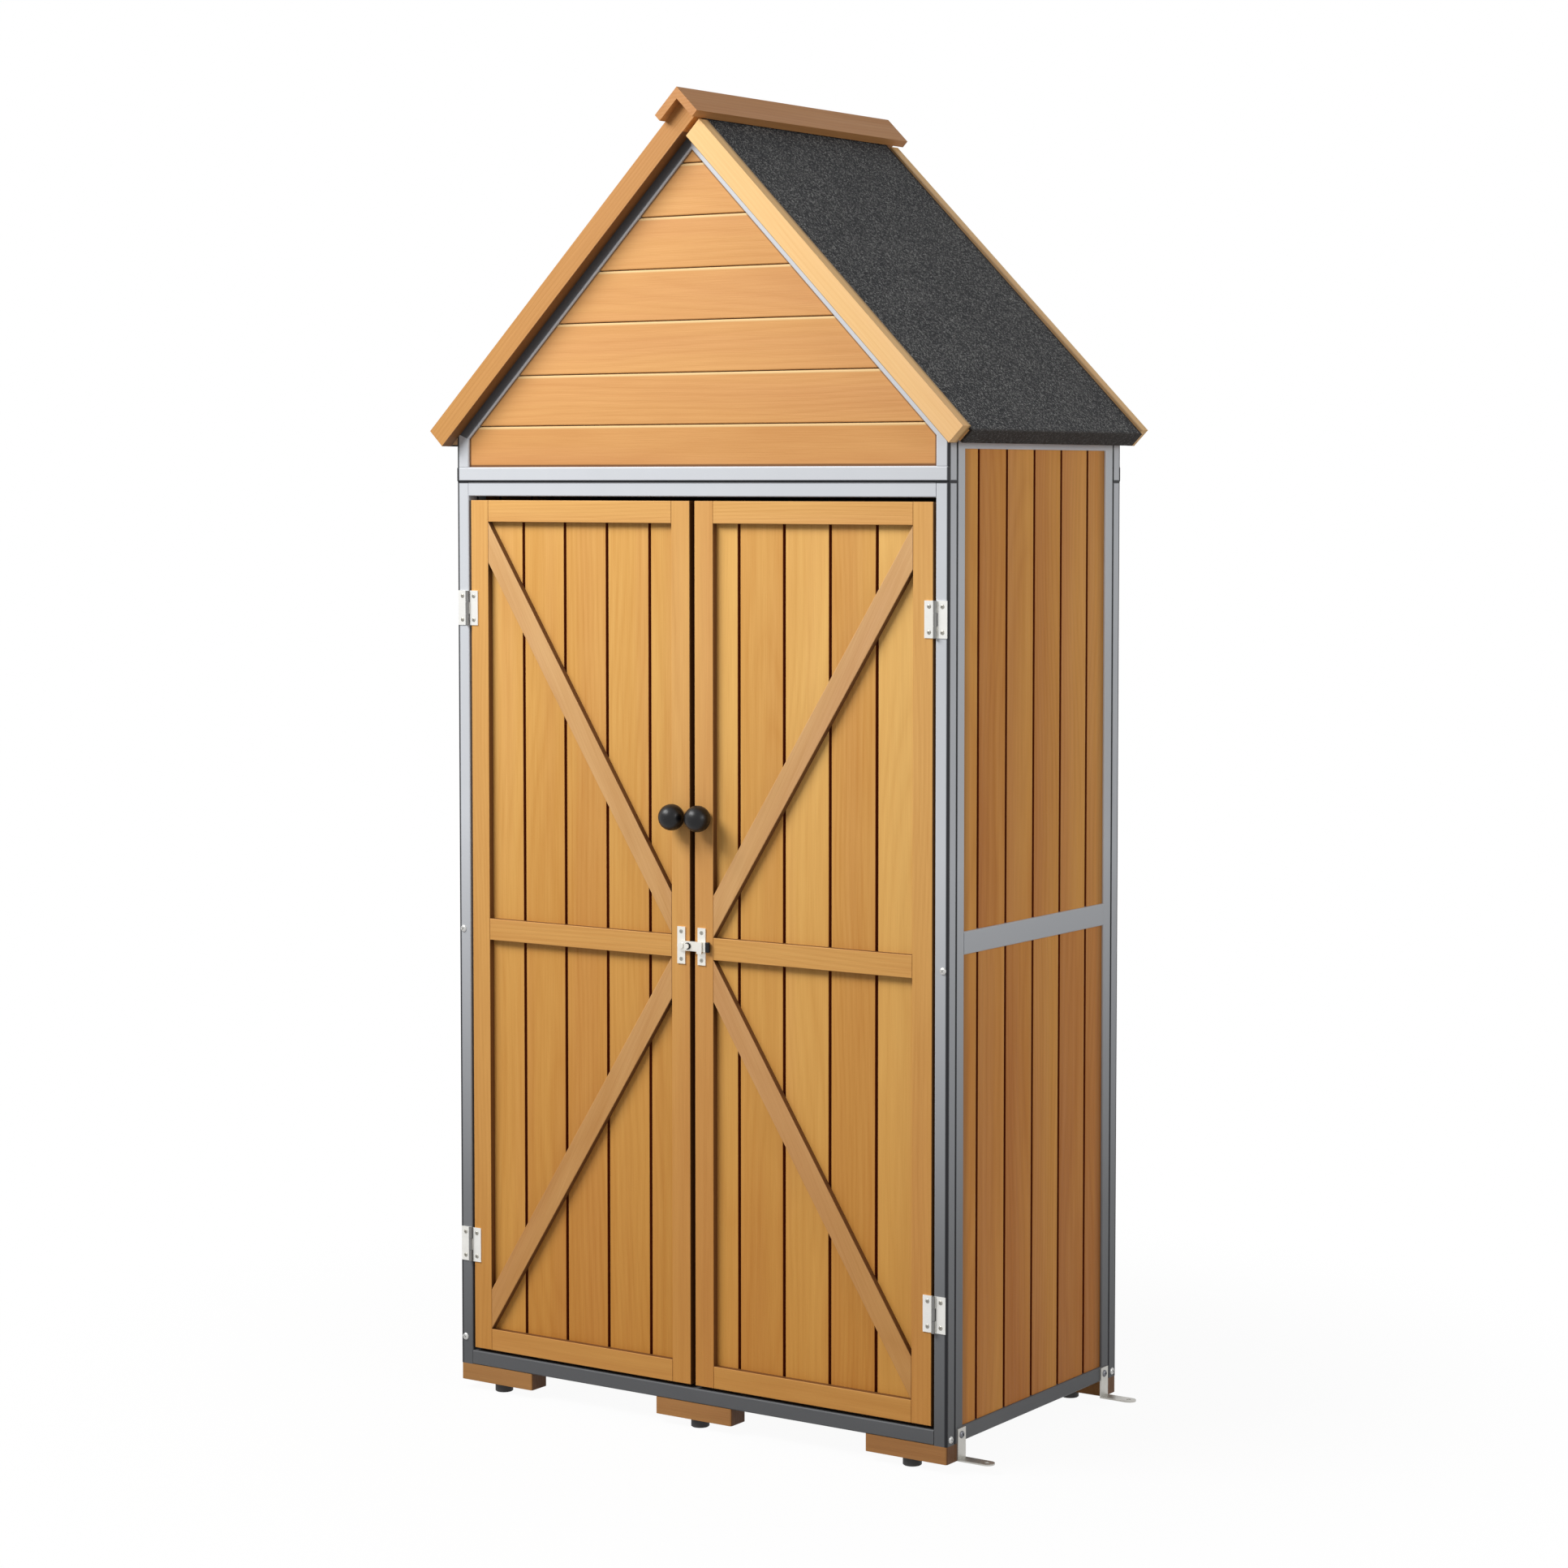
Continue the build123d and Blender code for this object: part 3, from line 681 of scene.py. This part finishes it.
def makeFelt():
    material, tree, shader = newMaterial("roofFelt")
    spot = objectPlace(tree)
    grit = place(tree, "ShaderNodeTexVoronoi", {"Vector": spot, "Scale": feltSet["grit"]}, feature="F1")
    speck = axes(tree, grit.outputs["Color"])[0]
    clouds = maths(tree, "SUBTRACT", noise(tree, spot, *feltSet["cloud"]).outputs[0], 0.5)
    light = maths(tree, "POWER", speck, feltSet["speckPower"])
    light = maths(tree, "MULTIPLY_ADD", clouds, feltSet["cloudShare"], light, clamp=True)
    colour = blendColours(tree, light, feltSet["dark"], feltSet["light"])
    spots = axes(tree, spot)
    besideBargeShadow = feltShadow(tree, maths(tree, "ABSOLUTE", spots[1]), "besideBargeShadow")
    feltShade = maths(tree, "MAXIMUM", besideBargeShadow, feltShadow(tree, spots[2], "turnedDownShade"))
    colour = blendColours(tree, feltShade, colour, feltSet["shadowDark"])
    rough = maths(tree, "MULTIPLY_ADD", speck, feltSet["rough"]["speck"], feltSet["rough"]["least"])
    stone = maths(tree, "SUBTRACT", 1.0, grit.outputs["Distance"])
    finishMaterial(tree, shader, colour, rough, feltSet["shine"], stone, feltSet["relief"], feltSet["depth"])
    return material


materials["roofFelt"] = makeFelt()
print("materials are made")

nodeMaterials = {
    "tubeSteel": (
        "front_frame_posts back_frame_posts front_frame_rails back_frame_rails side_posts side_rails "
        "eaves_rails gable_sills gable_posts right_rafters"
    ),
    "shadedSteel": "left_rafters",
    "hingeZinc": "hinge_frame_leaves left_door_hinge_leaves right_door_hinge_leaves",
    "latchZinc": "left_door_latch_plate right_door_latch_keeper latch_bar",
    "bracketZinc": "anchor_brackets",
    "knobBlack": "left_door_knob right_door_knob",
    "footBlack": "levelling_feet",
    "roofFelt": "left_roof_felt right_roof_felt",
    "uprightBattenWood": "left_door_stiles right_door_stiles",
    "crossBattenWood": "left_door_rails right_door_rails",
    "braceWood": "left_door_braces right_door_braces",
    "leftSlopeWood": "left_barges",
    "rightSlopeWood": "right_barges",
    "ridgeWood": "left_ridge_board right_ridge_board",
    "blockWood": "foot_blocks",
    "bearerWood": "floor_bearers",
}
for kind, names in nodeMaterials.items():
    for name in names.split():
        item = cadNodes[name]
        if not item.material_slots:
            item.data.materials.append(materials[kind])
        for slot in item.material_slots:
            slot.material = materials[kind]


# Geometry Nodes: a tree's inputs are named, and a modifier's are set by their identifiers
def newGeometryTree(name, inputs):
    tree = bpy.data.node_groups.new(name, "GeometryNodeTree")
    addSockets(tree, "OUTPUT", {"Geometry": "Geometry"})
    addSockets(tree, "INPUT", inputs)
    return tree, place(tree, "NodeGroupInput").outputs


def finishTree(tree, geometry, material):
    realized = place(tree, "GeometryNodeRealizeInstances", {0: geometry}).outputs[0]
    painted = place(tree, "GeometryNodeSetMaterial", {"Geometry": realized, "Material": material}).outputs[0]
    place(tree, "NodeGroupOutput", {0: painted})
    return tree


def box(tree, x, y, z, middle):
    cube = place(tree, "GeometryNodeMeshCube", {"Size": joinAxes(tree, x, y, z)}).outputs[0]
    return place(tree, "GeometryNodeTransform", {"Geometry": cube, "Translation": middle}).outputs[0]


def joinGeometry(tree, *pieces):
    joined = place(tree, "GeometryNodeJoinGeometry")
    for piece in pieces:
        tree.links.new(piece, joined.inputs[0])
    return joined.outputs[0]


def storeAttribute(tree, geometry, name, value, kind, domain):
    feeds = {"Geometry": geometry, "Name": name, "Value": value}
    return place(tree, "GeometryNodeStoreNamedAttribute", feeds, data_type=kind, domain=domain).outputs[0]


def randomValue(tree, kind, low, high, seed):
    feeds = {"Min": low, "Max": high, "Seed": seed}
    return shownSocket(place(tree, "FunctionNodeRandomValue", feeds, data_type=kind).outputs)


def runTree(tree, name, settings, mesh=None):
    source = mesh or bpy.data.meshes.new(name + "Source")
    holder = bpy.data.objects.new(name + "Source", source)
    bpy.context.collection.objects.link(holder)
    modifier = holder.modifiers.new("nodes", "NODES")
    modifier.node_group = tree
    for item in tree.interface.items_tree:
        if item.item_type == "SOCKET" and item.in_out == "INPUT" and item.name in settings:
            modifier[item.identifier] = settings[item.name]
    holder.update_tag()
    result = bpy.data.meshes.new_from_object(holder.evaluated_get(bpy.context.evaluated_depsgraph_get()))
    bpy.data.objects.remove(holder)
    result.name = name
    return result


def addPiece(name, mesh, body, replaced=()):
    piece = bpy.data.objects.new(name, mesh)
    bpy.context.collection.objects.link(piece)
    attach(piece, body)
    if replaced:
        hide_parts(*replaced)


# A row of boards: X runs across the row, Z along the boards, and -Y is the face that shows
boardForm = {
    "arrisSteps": 3,
    "weld": 0.00001,
    "tongueOverlap": 0.002,
    "tonguePlay": 0.0008,
    "sideFacing": 0.8,
    "shiftReach": 3.0,
}


def makeBoardTree():
    inputs = {
        "Boards": "Int",
        "Pitch": "Float",
        "Groove": "Float",
        "Groove Depth": "Float",
        "Thickness": "Float",
        "Length": "Float",
        "Arris": "Float",
        "Seed": "Int",
        "Material": "Material",
    }
    tree, given = newGeometryTree("boardRow", inputs)
    pitch, length, thickness = given["Pitch"], given["Length"], given["Thickness"]
    halfPitch = maths(tree, "MULTIPLY", pitch, 0.5)

    # One board: a rounded outline, filled and pushed up to the board's length
    feeds = {"Width": maths(tree, "SUBTRACT", pitch, given["Groove"]), "Height": thickness}
    outline = place(tree, "GeometryNodeCurvePrimitiveQuadrilateral", feeds).outputs[0]
    feeds = {"Curve": outline, "Radius": given["Arris"], "Count": boardForm["arrisSteps"]}
    rounded = place(tree, "GeometryNodeFilletCurve", feeds, mode="POLY").outputs[0]
    bottom = place(tree, "GeometryNodeFillCurve", {"Curve": rounded}, mode="NGONS").outputs[0]
    pushed = place(tree, "GeometryNodeExtrudeMesh", {"Mesh": bottom, "Offset Scale": length}).outputs[0]
    closing = place(tree, "GeometryNodeFlipFaces", {0: bottom}).outputs[0]
    feeds = {"Geometry": joinGeometry(tree, pushed, closing), "Distance": boardForm["weld"]}
    board = place(tree, "GeometryNodeMergeByDistance", feeds).outputs[0]

    # Its tongue fills the groove beside it, set back from the face
    overlap = maths(tree, "ADD", given["Groove"], boardForm["tongueOverlap"])
    depth = maths(tree, "SUBTRACT", thickness, given["Groove Depth"])
    depth = maths(tree, "SUBTRACT", depth, boardForm["tonguePlay"])
    setBack = maths(tree, "SUBTRACT", given["Groove Depth"], boardForm["tonguePlay"])
    setBack = maths(tree, "MULTIPLY", setBack, 0.5)
    middle = joinAxes(tree, halfPitch, setBack, maths(tree, "MULTIPLY", length, 0.5))
    tongue = box(tree, overlap, depth, length, middle)

    # Tongues and the narrow sides of the boards take the groove's darkening, partly dirt and partly painted
    # shade
    normal = place(tree, "GeometryNodeInputNormal").outputs[0]
    sideways = maths(tree, "ABSOLUTE", axes(tree, normal)[0])
    narrow = maths(tree, "GREATER_THAN", sideways, boardForm["sideFacing"])
    board = storeAttribute(tree, board, "grooveShade", narrow, "FLOAT", "FACE")
    tongue = storeAttribute(tree, tongue, "grooveShade", 1.0, "FLOAT", "FACE")
    position = place(tree, "GeometryNodeInputPosition").outputs[0]
    both = joinGeometry(tree, board, tongue)
    placed = storeAttribute(tree, both, "grainPlace", position, "FLOAT_VECTOR", "POINT")

    # Boards side by side, each with a tone and a shift of its own
    first, step = (joinAxes(tree, x, 0.0, 0.0) for x in (halfPitch, pitch))
    feeds = {"Count": given["Boards"], "Start Location": first, "Offset": step}
    line = place(tree, "GeometryNodeMeshLine", feeds, mode="OFFSET").outputs[0]
    row = place(tree, "GeometryNodeInstanceOnPoints", {"Points": line, "Instance": placed}).outputs[0]
    reach = boardForm["shiftReach"]
    for name, kind, low, high in (
        ("boardTone", "FLOAT", -1.0, 1.0),
        ("boardShift", "FLOAT_VECTOR", (-reach,) * 3, (reach,) * 3),
    ):
        own = randomValue(tree, kind, low, high, given["Seed"])
        row = storeAttribute(tree, row, name, own, kind, "INSTANCE")
    return finishTree(tree, row, given["Material"])


boardTree = makeBoardTree()
panelSet = {"merge": 1e-5, "cut": 1e-6, "slack": 1e-5, "edgeReach": 0.0025}


def boxAround(points):
    sides = [[point[i] for point in points] for i in range(3)]
    return Vector([min(side) for side in sides]), Vector([max(side) for side in sides])


# The boxes round the separate solids of a CAD node, in a fixed order
def solidBoxes(name):
    bm = bmesh.new()
    bm.from_mesh(cadNodes[name].data)
    bmesh.ops.remove_doubles(bm, verts=bm.verts, dist=panelSet["merge"])
    waiting = set(bm.verts)
    boxes = []
    while waiting:
        group = {waiting.pop()}
        newest = set(group)
        while newest:
            newest = {edge.other_vert(vertex) for vertex in newest for edge in vertex.link_edges} - group
            group |= newest
        waiting -= group
        boxes.append(boxAround([vertex.co for vertex in group]))
    bm.free()
    return sorted(boxes, key=lambda item: tuple(round(n, 4) for n in (*item[0], *item[1])))


# Cuts closed boards along planes, and closes them again; what a normal points at is cut away
def clipBoards(mesh, planes):
    bm = bmesh.new()
    bm.from_mesh(mesh)
    for point, normal in planes:
        cut = bmesh.ops.bisect_plane(
            bm,
            geom=bm.verts[:] + bm.edges[:] + bm.faces[:],
            dist=panelSet["cut"],
            plane_co=point,
            plane_no=normal,
            clear_outer=True,
        )
        rim = [item for item in cut["geom_cut"] if isinstance(item, bmesh.types.BMEdge)]
        if rim:
            bmesh.ops.holes_fill(bm, edges=rim, sides=0)
    bm.to_mesh(mesh)
    bm.free()


def boxPlanes(low, high):
    planes = []
    for axis in range(3):
        for sign, corner in ((-1, low), (1, high)):
            normal = Vector((0, 0, 0))
            normal[axis] = sign
            point = (low + high) / 2
            point[axis] = corner[axis]
            planes.append((point, normal))
    return planes


# Where a row's own axes go, so that its X runs across the boards and its -Y faces out
facings = {
    "front": Matrix.Identity(3),
    "back": Matrix.Rotation(pi, 3, "Z"),
    "right": Matrix.Rotation(pi / 2, 3, "Z"),
    "left": Matrix.Rotation(-pi / 2, 3, "Z"),
    "frontLevel": Matrix.Rotation(-pi / 2, 3, "Y"),
    "backLevel": Matrix.Rotation(pi, 3, "Z") @ Matrix.Rotation(-pi / 2, 3, "Y"),
    "up": Matrix(((0, 0, 1), (-1, 0, 0), (0, -1, 0))),
    "down": Matrix(((-1, 0, 0), (0, 0, 1), (0, 1, 0))),
}
boardJoints = {
    "door": {"groove": 0.0045, "depth": 0.0052, "arris": 0.0007},
    "side": {"groove": 0.0052, "depth": 0.0050, "arris": 0.0006},
    "gable": {"groove": 0.0010, "depth": 0.0050, "arris": 0.0018},
    "floor": {"groove": 0.0020, "depth": 0.0040, "arris": 0.0010},
}
# Each row has one joint at a known place on its own X, and one every pitch from there
boardRows = {
    "leftDoor": {"jointAt": -0.0760, "pitch": 0.0715, "joint": "door"},
    "rightDoor": {"jointAt": 0.0701, "pitch": 0.0721, "joint": "door"},
    "sides": {"jointAt": -0.0042, "pitch": 0.0714, "joint": "side"},
    "sidesTurned": {"jointAt": 0.0042, "pitch": 0.0714, "joint": "side"},
    "gable": {"jointAt": 1.3510, "pitch": 0.0690, "joint": "gable"},
    "back": {"jointAt": 0.0, "pitch": 0.0714, "joint": "side"},
    "floor": {"jointAt": 0.041, "pitch": 0.082, "joint": "floor"},
    "roof": {"jointAt": 0.0, "pitch": 0.090, "joint": "floor"},
}
# A piece's first panel takes its seed, and each further panel the next number
boardSeeds = {
    "leftDoorBoards": 11,
    "rightDoorBoards": 23,
    "leftWallBoards": 37,
    "rightWallBoards": 41,
    "backWallBoards": 53,
    "gableBoards": 67,
    "floorBoards": 71,
    "leftRoofBoards": 79,
    "rightRoofBoards": 83,
}


def boardPanel(name, low, high, facing, rowName, wood, number=0, extraPlanes=()):
    turn = facings[facing].to_4x4()
    row = boardRows[rowName]
    joint = boardJoints[row["joint"]]
    # The panel's box in the row's own axes
    start, end = boxAround([turn.inverted() @ corner for corner in (low, high)])
    count = 1
    first = row["jointAt"]
    while first > start.x + panelSet["slack"]:
        first -= row["pitch"]
    while first + count * row["pitch"] < end.x - panelSet["slack"]:
        count += 1
    settings = {
        "Boards": count,
        "Pitch": row["pitch"],
        "Groove": joint["groove"],
        "Groove Depth": joint["depth"],
        "Thickness": end.y - start.y,
        "Length": end.z - start.z,
        "Arris": joint["arris"],
        "Seed": boardSeeds[name] + number,
        "Material": materials[wood],
    }
    mesh = runTree(boardTree, name, settings)
    mesh.transform(Matrix.Translation(Vector((first, (start.y + end.y) / 2, start.z))))
    # An outer board that stops just short of the panel's edge is brought up to it
    reach = joint["groove"] + panelSet["edgeReach"]
    for vertex in mesh.vertices:
        for edgeX, outward in ((start.x, -1), (end.x, 1)):
            if 0 < (edgeX - vertex.co.x) * outward < reach:
                vertex.co.x = edgeX
    mesh.transform(turn)
    clipBoards(mesh, boxPlanes(low, high) + list(extraPlanes))
    return mesh


def joinMeshes(meshes):
    bm = bmesh.new()
    for mesh in meshes:
        bm.from_mesh(mesh)
    bm.to_mesh(meshes[0])
    bm.free()
    return meshes[0]


def addBoards(name, node, body, facing, rowName, wood):
    meshes = [
        boardPanel(name, low, high, facing, rowName, wood, i)
        for i, (low, high) in enumerate(solidBoxes(node))
    ]
    addPiece(name, joinMeshes(meshes), body, [node])


addBoards("leftDoorBoards", "left_door_boards", "left_door", "front", "leftDoor", "doorBoardWood")
addBoards("rightDoorBoards", "right_door_boards", "right_door", "front", "rightDoor", "doorBoardWood")
addBoards("leftWallBoards", "left_wall_panels", "shed", "left", "sidesTurned", "sideBoardWood")
addBoards("rightWallBoards", "right_wall_panels", "shed", "right", "sides", "sideBoardWood")
addBoards("backWallBoards", "back_wall_panels", "shed", "back", "back", "sideBoardWood")

# Gable boards lie level, and are cut along the two slopes
meshes = []
for i, (low, high) in enumerate(solidBoxes("gable_panels")):
    apex = Vector((0, (low.y + high.y) / 2, high.z))
    slopes = [(apex, Vector((sign, 0, 1)).normalized()) for sign in (-1, 1)]
    facing = "frontLevel" if high.y < 0 else "backLevel"
    meshes.append(boardPanel("gableBoards", low, high, facing, "gable", "gableBoardWood", i, slopes))
addPiece("gableBoards", joinMeshes(meshes), "shed", ["gable_panels"])

addBoards("floorBoards", "floor_deck", "shed", "up", "floor", "innerBoardWood")

# Roof boarding: each slope is laid flat about the ridge line, made, and turned back up
for side, sign in (("left", -1), ("right", 1)):
    name, node = side + "RoofBoards", side + "_roof_deck"
    turn = Matrix.Rotation(sign * roofPitch, 4, "Y")
    low, high = boxAround([turn.inverted() @ vertex.co for vertex in cadNodes[node].data.vertices])
    mesh = boardPanel(name, low, high, "down", "roof", "innerBoardWood")
    mesh.transform(turn)
    clipBoards(mesh, [(Vector((0, 0, 0)), Vector((-sign, 0, 0)))])
    addPiece(name, mesh, "shed", [node])
print("board rows are made")


# Screws and bolts: a domed head with a cross recess, turned to face out of what it holds
screwForm = {
    "segments": 20,
    "rings": 10,
    "underside": -0.15,
    "recessLength": 1.1,
    "recessWidth": 0.24,
    "seed": 5,
}


def makeScrewTree():
    inputs = {
        "Points": "Geometry",
        "Head": "Float",
        "Rise": "Float",
        "Recess": "Float",
        "Material": "Material",
    }
    tree, given = newGeometryTree("screwHeads", inputs)
    feeds = {"Segments": screwForm["segments"], "Rings": screwForm["rings"], "Radius": 1.0}
    ball = place(tree, "GeometryNodeMeshUVSphere", feeds).outputs[0]
    x, y, z = axes(tree, place(tree, "GeometryNodeInputPosition").outputs[0])
    z = maths(tree, "MAXIMUM", z, screwForm["underside"])
    sizes = ((x, given["Head"]), (y, given["Head"]), (z, given["Rise"]))
    dome = joinAxes(tree, *(maths(tree, "MULTIPLY", value, size) for value, size in sizes))
    head = place(tree, "GeometryNodeSetPosition", {"Geometry": ball, "Position": dome}).outputs[0]

    # The cross recess is cut by two bars
    wide = maths(tree, "MULTIPLY", given["Head"], screwForm["recessLength"])
    slim = maths(tree, "MULTIPLY", given["Head"], screwForm["recessWidth"])
    deep = maths(tree, "MULTIPLY", given["Recess"], 2.0)
    lift = joinAxes(tree, 0.0, 0.0, given["Rise"])
    for along, across in ((wide, slim), (slim, wide)):
        cut = place(tree, "GeometryNodeMeshBoolean", {"Mesh 1": head}, operation="DIFFERENCE")
        tree.links.new(box(tree, along, across, deep, lift), cut.inputs["Mesh 2"])
        head = cut.outputs[0]

    facing = place(tree, "GeometryNodeInputNamedAttribute", {"Name": "facing"}, data_type="FLOAT_VECTOR")
    feeds = {"Vector": shownSocket(facing.outputs)}
    aimed = place(tree, "FunctionNodeAlignRotationToVector", feeds, axis="Z").outputs[0]
    angle = randomValue(tree, "FLOAT", 0.0, pi / 2, screwForm["seed"])
    spin = place(tree, "FunctionNodeAxisAngleToRotation", {"Axis": (0, 0, 1), "Angle": angle}).outputs[0]
    feeds = {"Rotation": aimed, "Rotate By": spin}
    turned = place(tree, "FunctionNodeRotateRotation", feeds, rotation_space="LOCAL").outputs[0]
    feeds = {"Points": given["Points"], "Instance": head, "Rotation": turned}
    heads = place(tree, "GeometryNodeInstanceOnPoints", feeds).outputs[0]
    return finishTree(tree, heads, given["Material"])


screwTree = makeScrewTree()


def addScrews(name, body, places, size, metal):
    points = bpy.data.meshes.new(name + "Points")
    points.from_pydata([spot for spot, facing in places], [], [])
    directions = points.attributes.new("facing", "FLOAT_VECTOR", "POINT")
    for i, (spot, facing) in enumerate(places):
        directions.data[i].vector = facing
    mesh = runTree(screwTree, name, {**size, "Material": materials[metal]}, points)
    addPiece(name, mesh, body)


screwSize = {"Head": 0.0030, "Rise": 0.0011, "Recess": 0.0007}
# Low enough for the latch bar to swing over them
flatScrewSize = {"Head": 0.0030, "Rise": 0.0004, "Recess": 0.00025}
boltSize = {"Head": 0.0050, "Rise": 0.0026, "Recess": 0.0012}
hingeScrews = {"levels": (0.206, 1.100), "spread": 0.0165, "faceY": -0.2262, "frameX": 0.391, "doorX": 0.371}
latchScrews = {"levels": (0.655,), "spread": 0.0185, "faceY": -0.2265, "plateX": -0.0174, "keeperX": 0.0159}
postBolts = {"faceY": -0.2250, "spots": ((-0.3925, 0.651), (-0.3925, 0.073), (0.3925, 0.651))}
sideBolts = {"x": 0.4, "y": 0.215, "z": 0.043}
bracketBolts = {"x": 0.402, "y": 0.1905, "z": 0.045}
forward = (0, -1, 0)


def screwPairs(setting, x):
    return [
        ((x, setting["faceY"], level + sign * setting["spread"]), forward)
        for level in setting["levels"]
        for sign in (-1, 1)
    ]


def boltPair(setting, side):
    return [((side * setting["x"], sign * setting["y"], setting["z"]), (side, 0, 0)) for sign in (-1, 1)]


frameScrews = screwPairs(hingeScrews, -hingeScrews["frameX"]) + screwPairs(hingeScrews, hingeScrews["frameX"])
addScrews("shedScrews", "shed", frameScrews, screwSize, "plateScrewZinc")
for body, sign in (("left_door", -1), ("right_door", 1)):
    places = screwPairs(hingeScrews, sign * hingeScrews["doorX"])
    addScrews(body + "Screws", body, places, screwSize, "plateScrewZinc")
for name, body, x in (
    ("latchPlateScrews", "left_door", "plateX"),
    ("latchKeeperScrews", "right_door", "keeperX"),
):
    addScrews(name, body, screwPairs(latchScrews, latchScrews[x]), flatScrewSize, "plateScrewZinc")

# Bolts through the corner posts, and through the brackets into the side posts
boltPlaces = [((x, postBolts["faceY"], z), forward) for x, z in postBolts["spots"]]
boltPlaces += boltPair(sideBolts, -1) + boltPair(sideBolts, 1)
addScrews("frameBolts", "shed", boltPlaces, boltSize, "boltZinc")
addScrews("bracketBolts", "shed", boltPair(bracketBolts, 1), boltSize, "screwSteel")
print("screws and bolts are in")


# Latch: a black rounded block on the end of the bar, and a ring round the foot of its grip
latchTip = {
    "box": ((0.0243, 0.0306), (-0.2308, -0.2265), (0.6481, 0.6619)),
    "round": 0.0012,
    "steps": 4,
    "profile": 0.5,
}
gripRing = {
    "middle": (-0.0040, -0.2310, 0.655),
    "radius": 0.0038,
    "thickness": 0.0009,
    "around": 40,
    "section": 12,
}


def makeLatchTip():
    bm = bmesh.new()
    bmesh.ops.create_cube(bm, size=1.0)
    for vertex in bm.verts:
        ends = enumerate(latchTip["box"])
        vertex.co = Vector([low + (vertex.co[i] + 0.5) * (high - low) for i, (low, high) in ends])
    bmesh.ops.bevel(
        bm,
        geom=bm.edges[:],
        offset=latchTip["round"],
        segments=latchTip["steps"],
        affect="EDGES",
        profile=latchTip["profile"],
    )
    return meshFrom(bm, "latchTip", materials["tipBlack"])


def makeGripRing():
    around, section = gripRing["around"], gripRing["section"]
    x, y, z = gripRing["middle"]
    bm = bmesh.new()
    rows = []
    for i in range(around):
        angle = 2 * pi * i / around
        rows.append([])
        for j in range(section):
            turn = 2 * pi * j / section
            reach = gripRing["radius"] + gripRing["thickness"] * cos(turn)
            depth = y + gripRing["thickness"] * sin(turn)
            rows[i].append(bm.verts.new((x + reach * cos(angle), depth, z + reach * sin(angle))))
    for i in range(around):
        for j in range(section):
            after, beside = (i + 1) % around, (j + 1) % section
            bm.faces.new((rows[i][j], rows[after][j], rows[after][beside], rows[i][beside]))
    bmesh.ops.recalc_face_normals(bm, faces=bm.faces[:])
    for face in bm.faces:
        face.smooth = True
    return meshFrom(bm, "gripRing", materials["tipBlack"])


addPiece("latchTip", makeLatchTip(), "latch_bar")
addPiece("gripRing", makeGripRing(), "latch_bar")
print("latch is dressed")
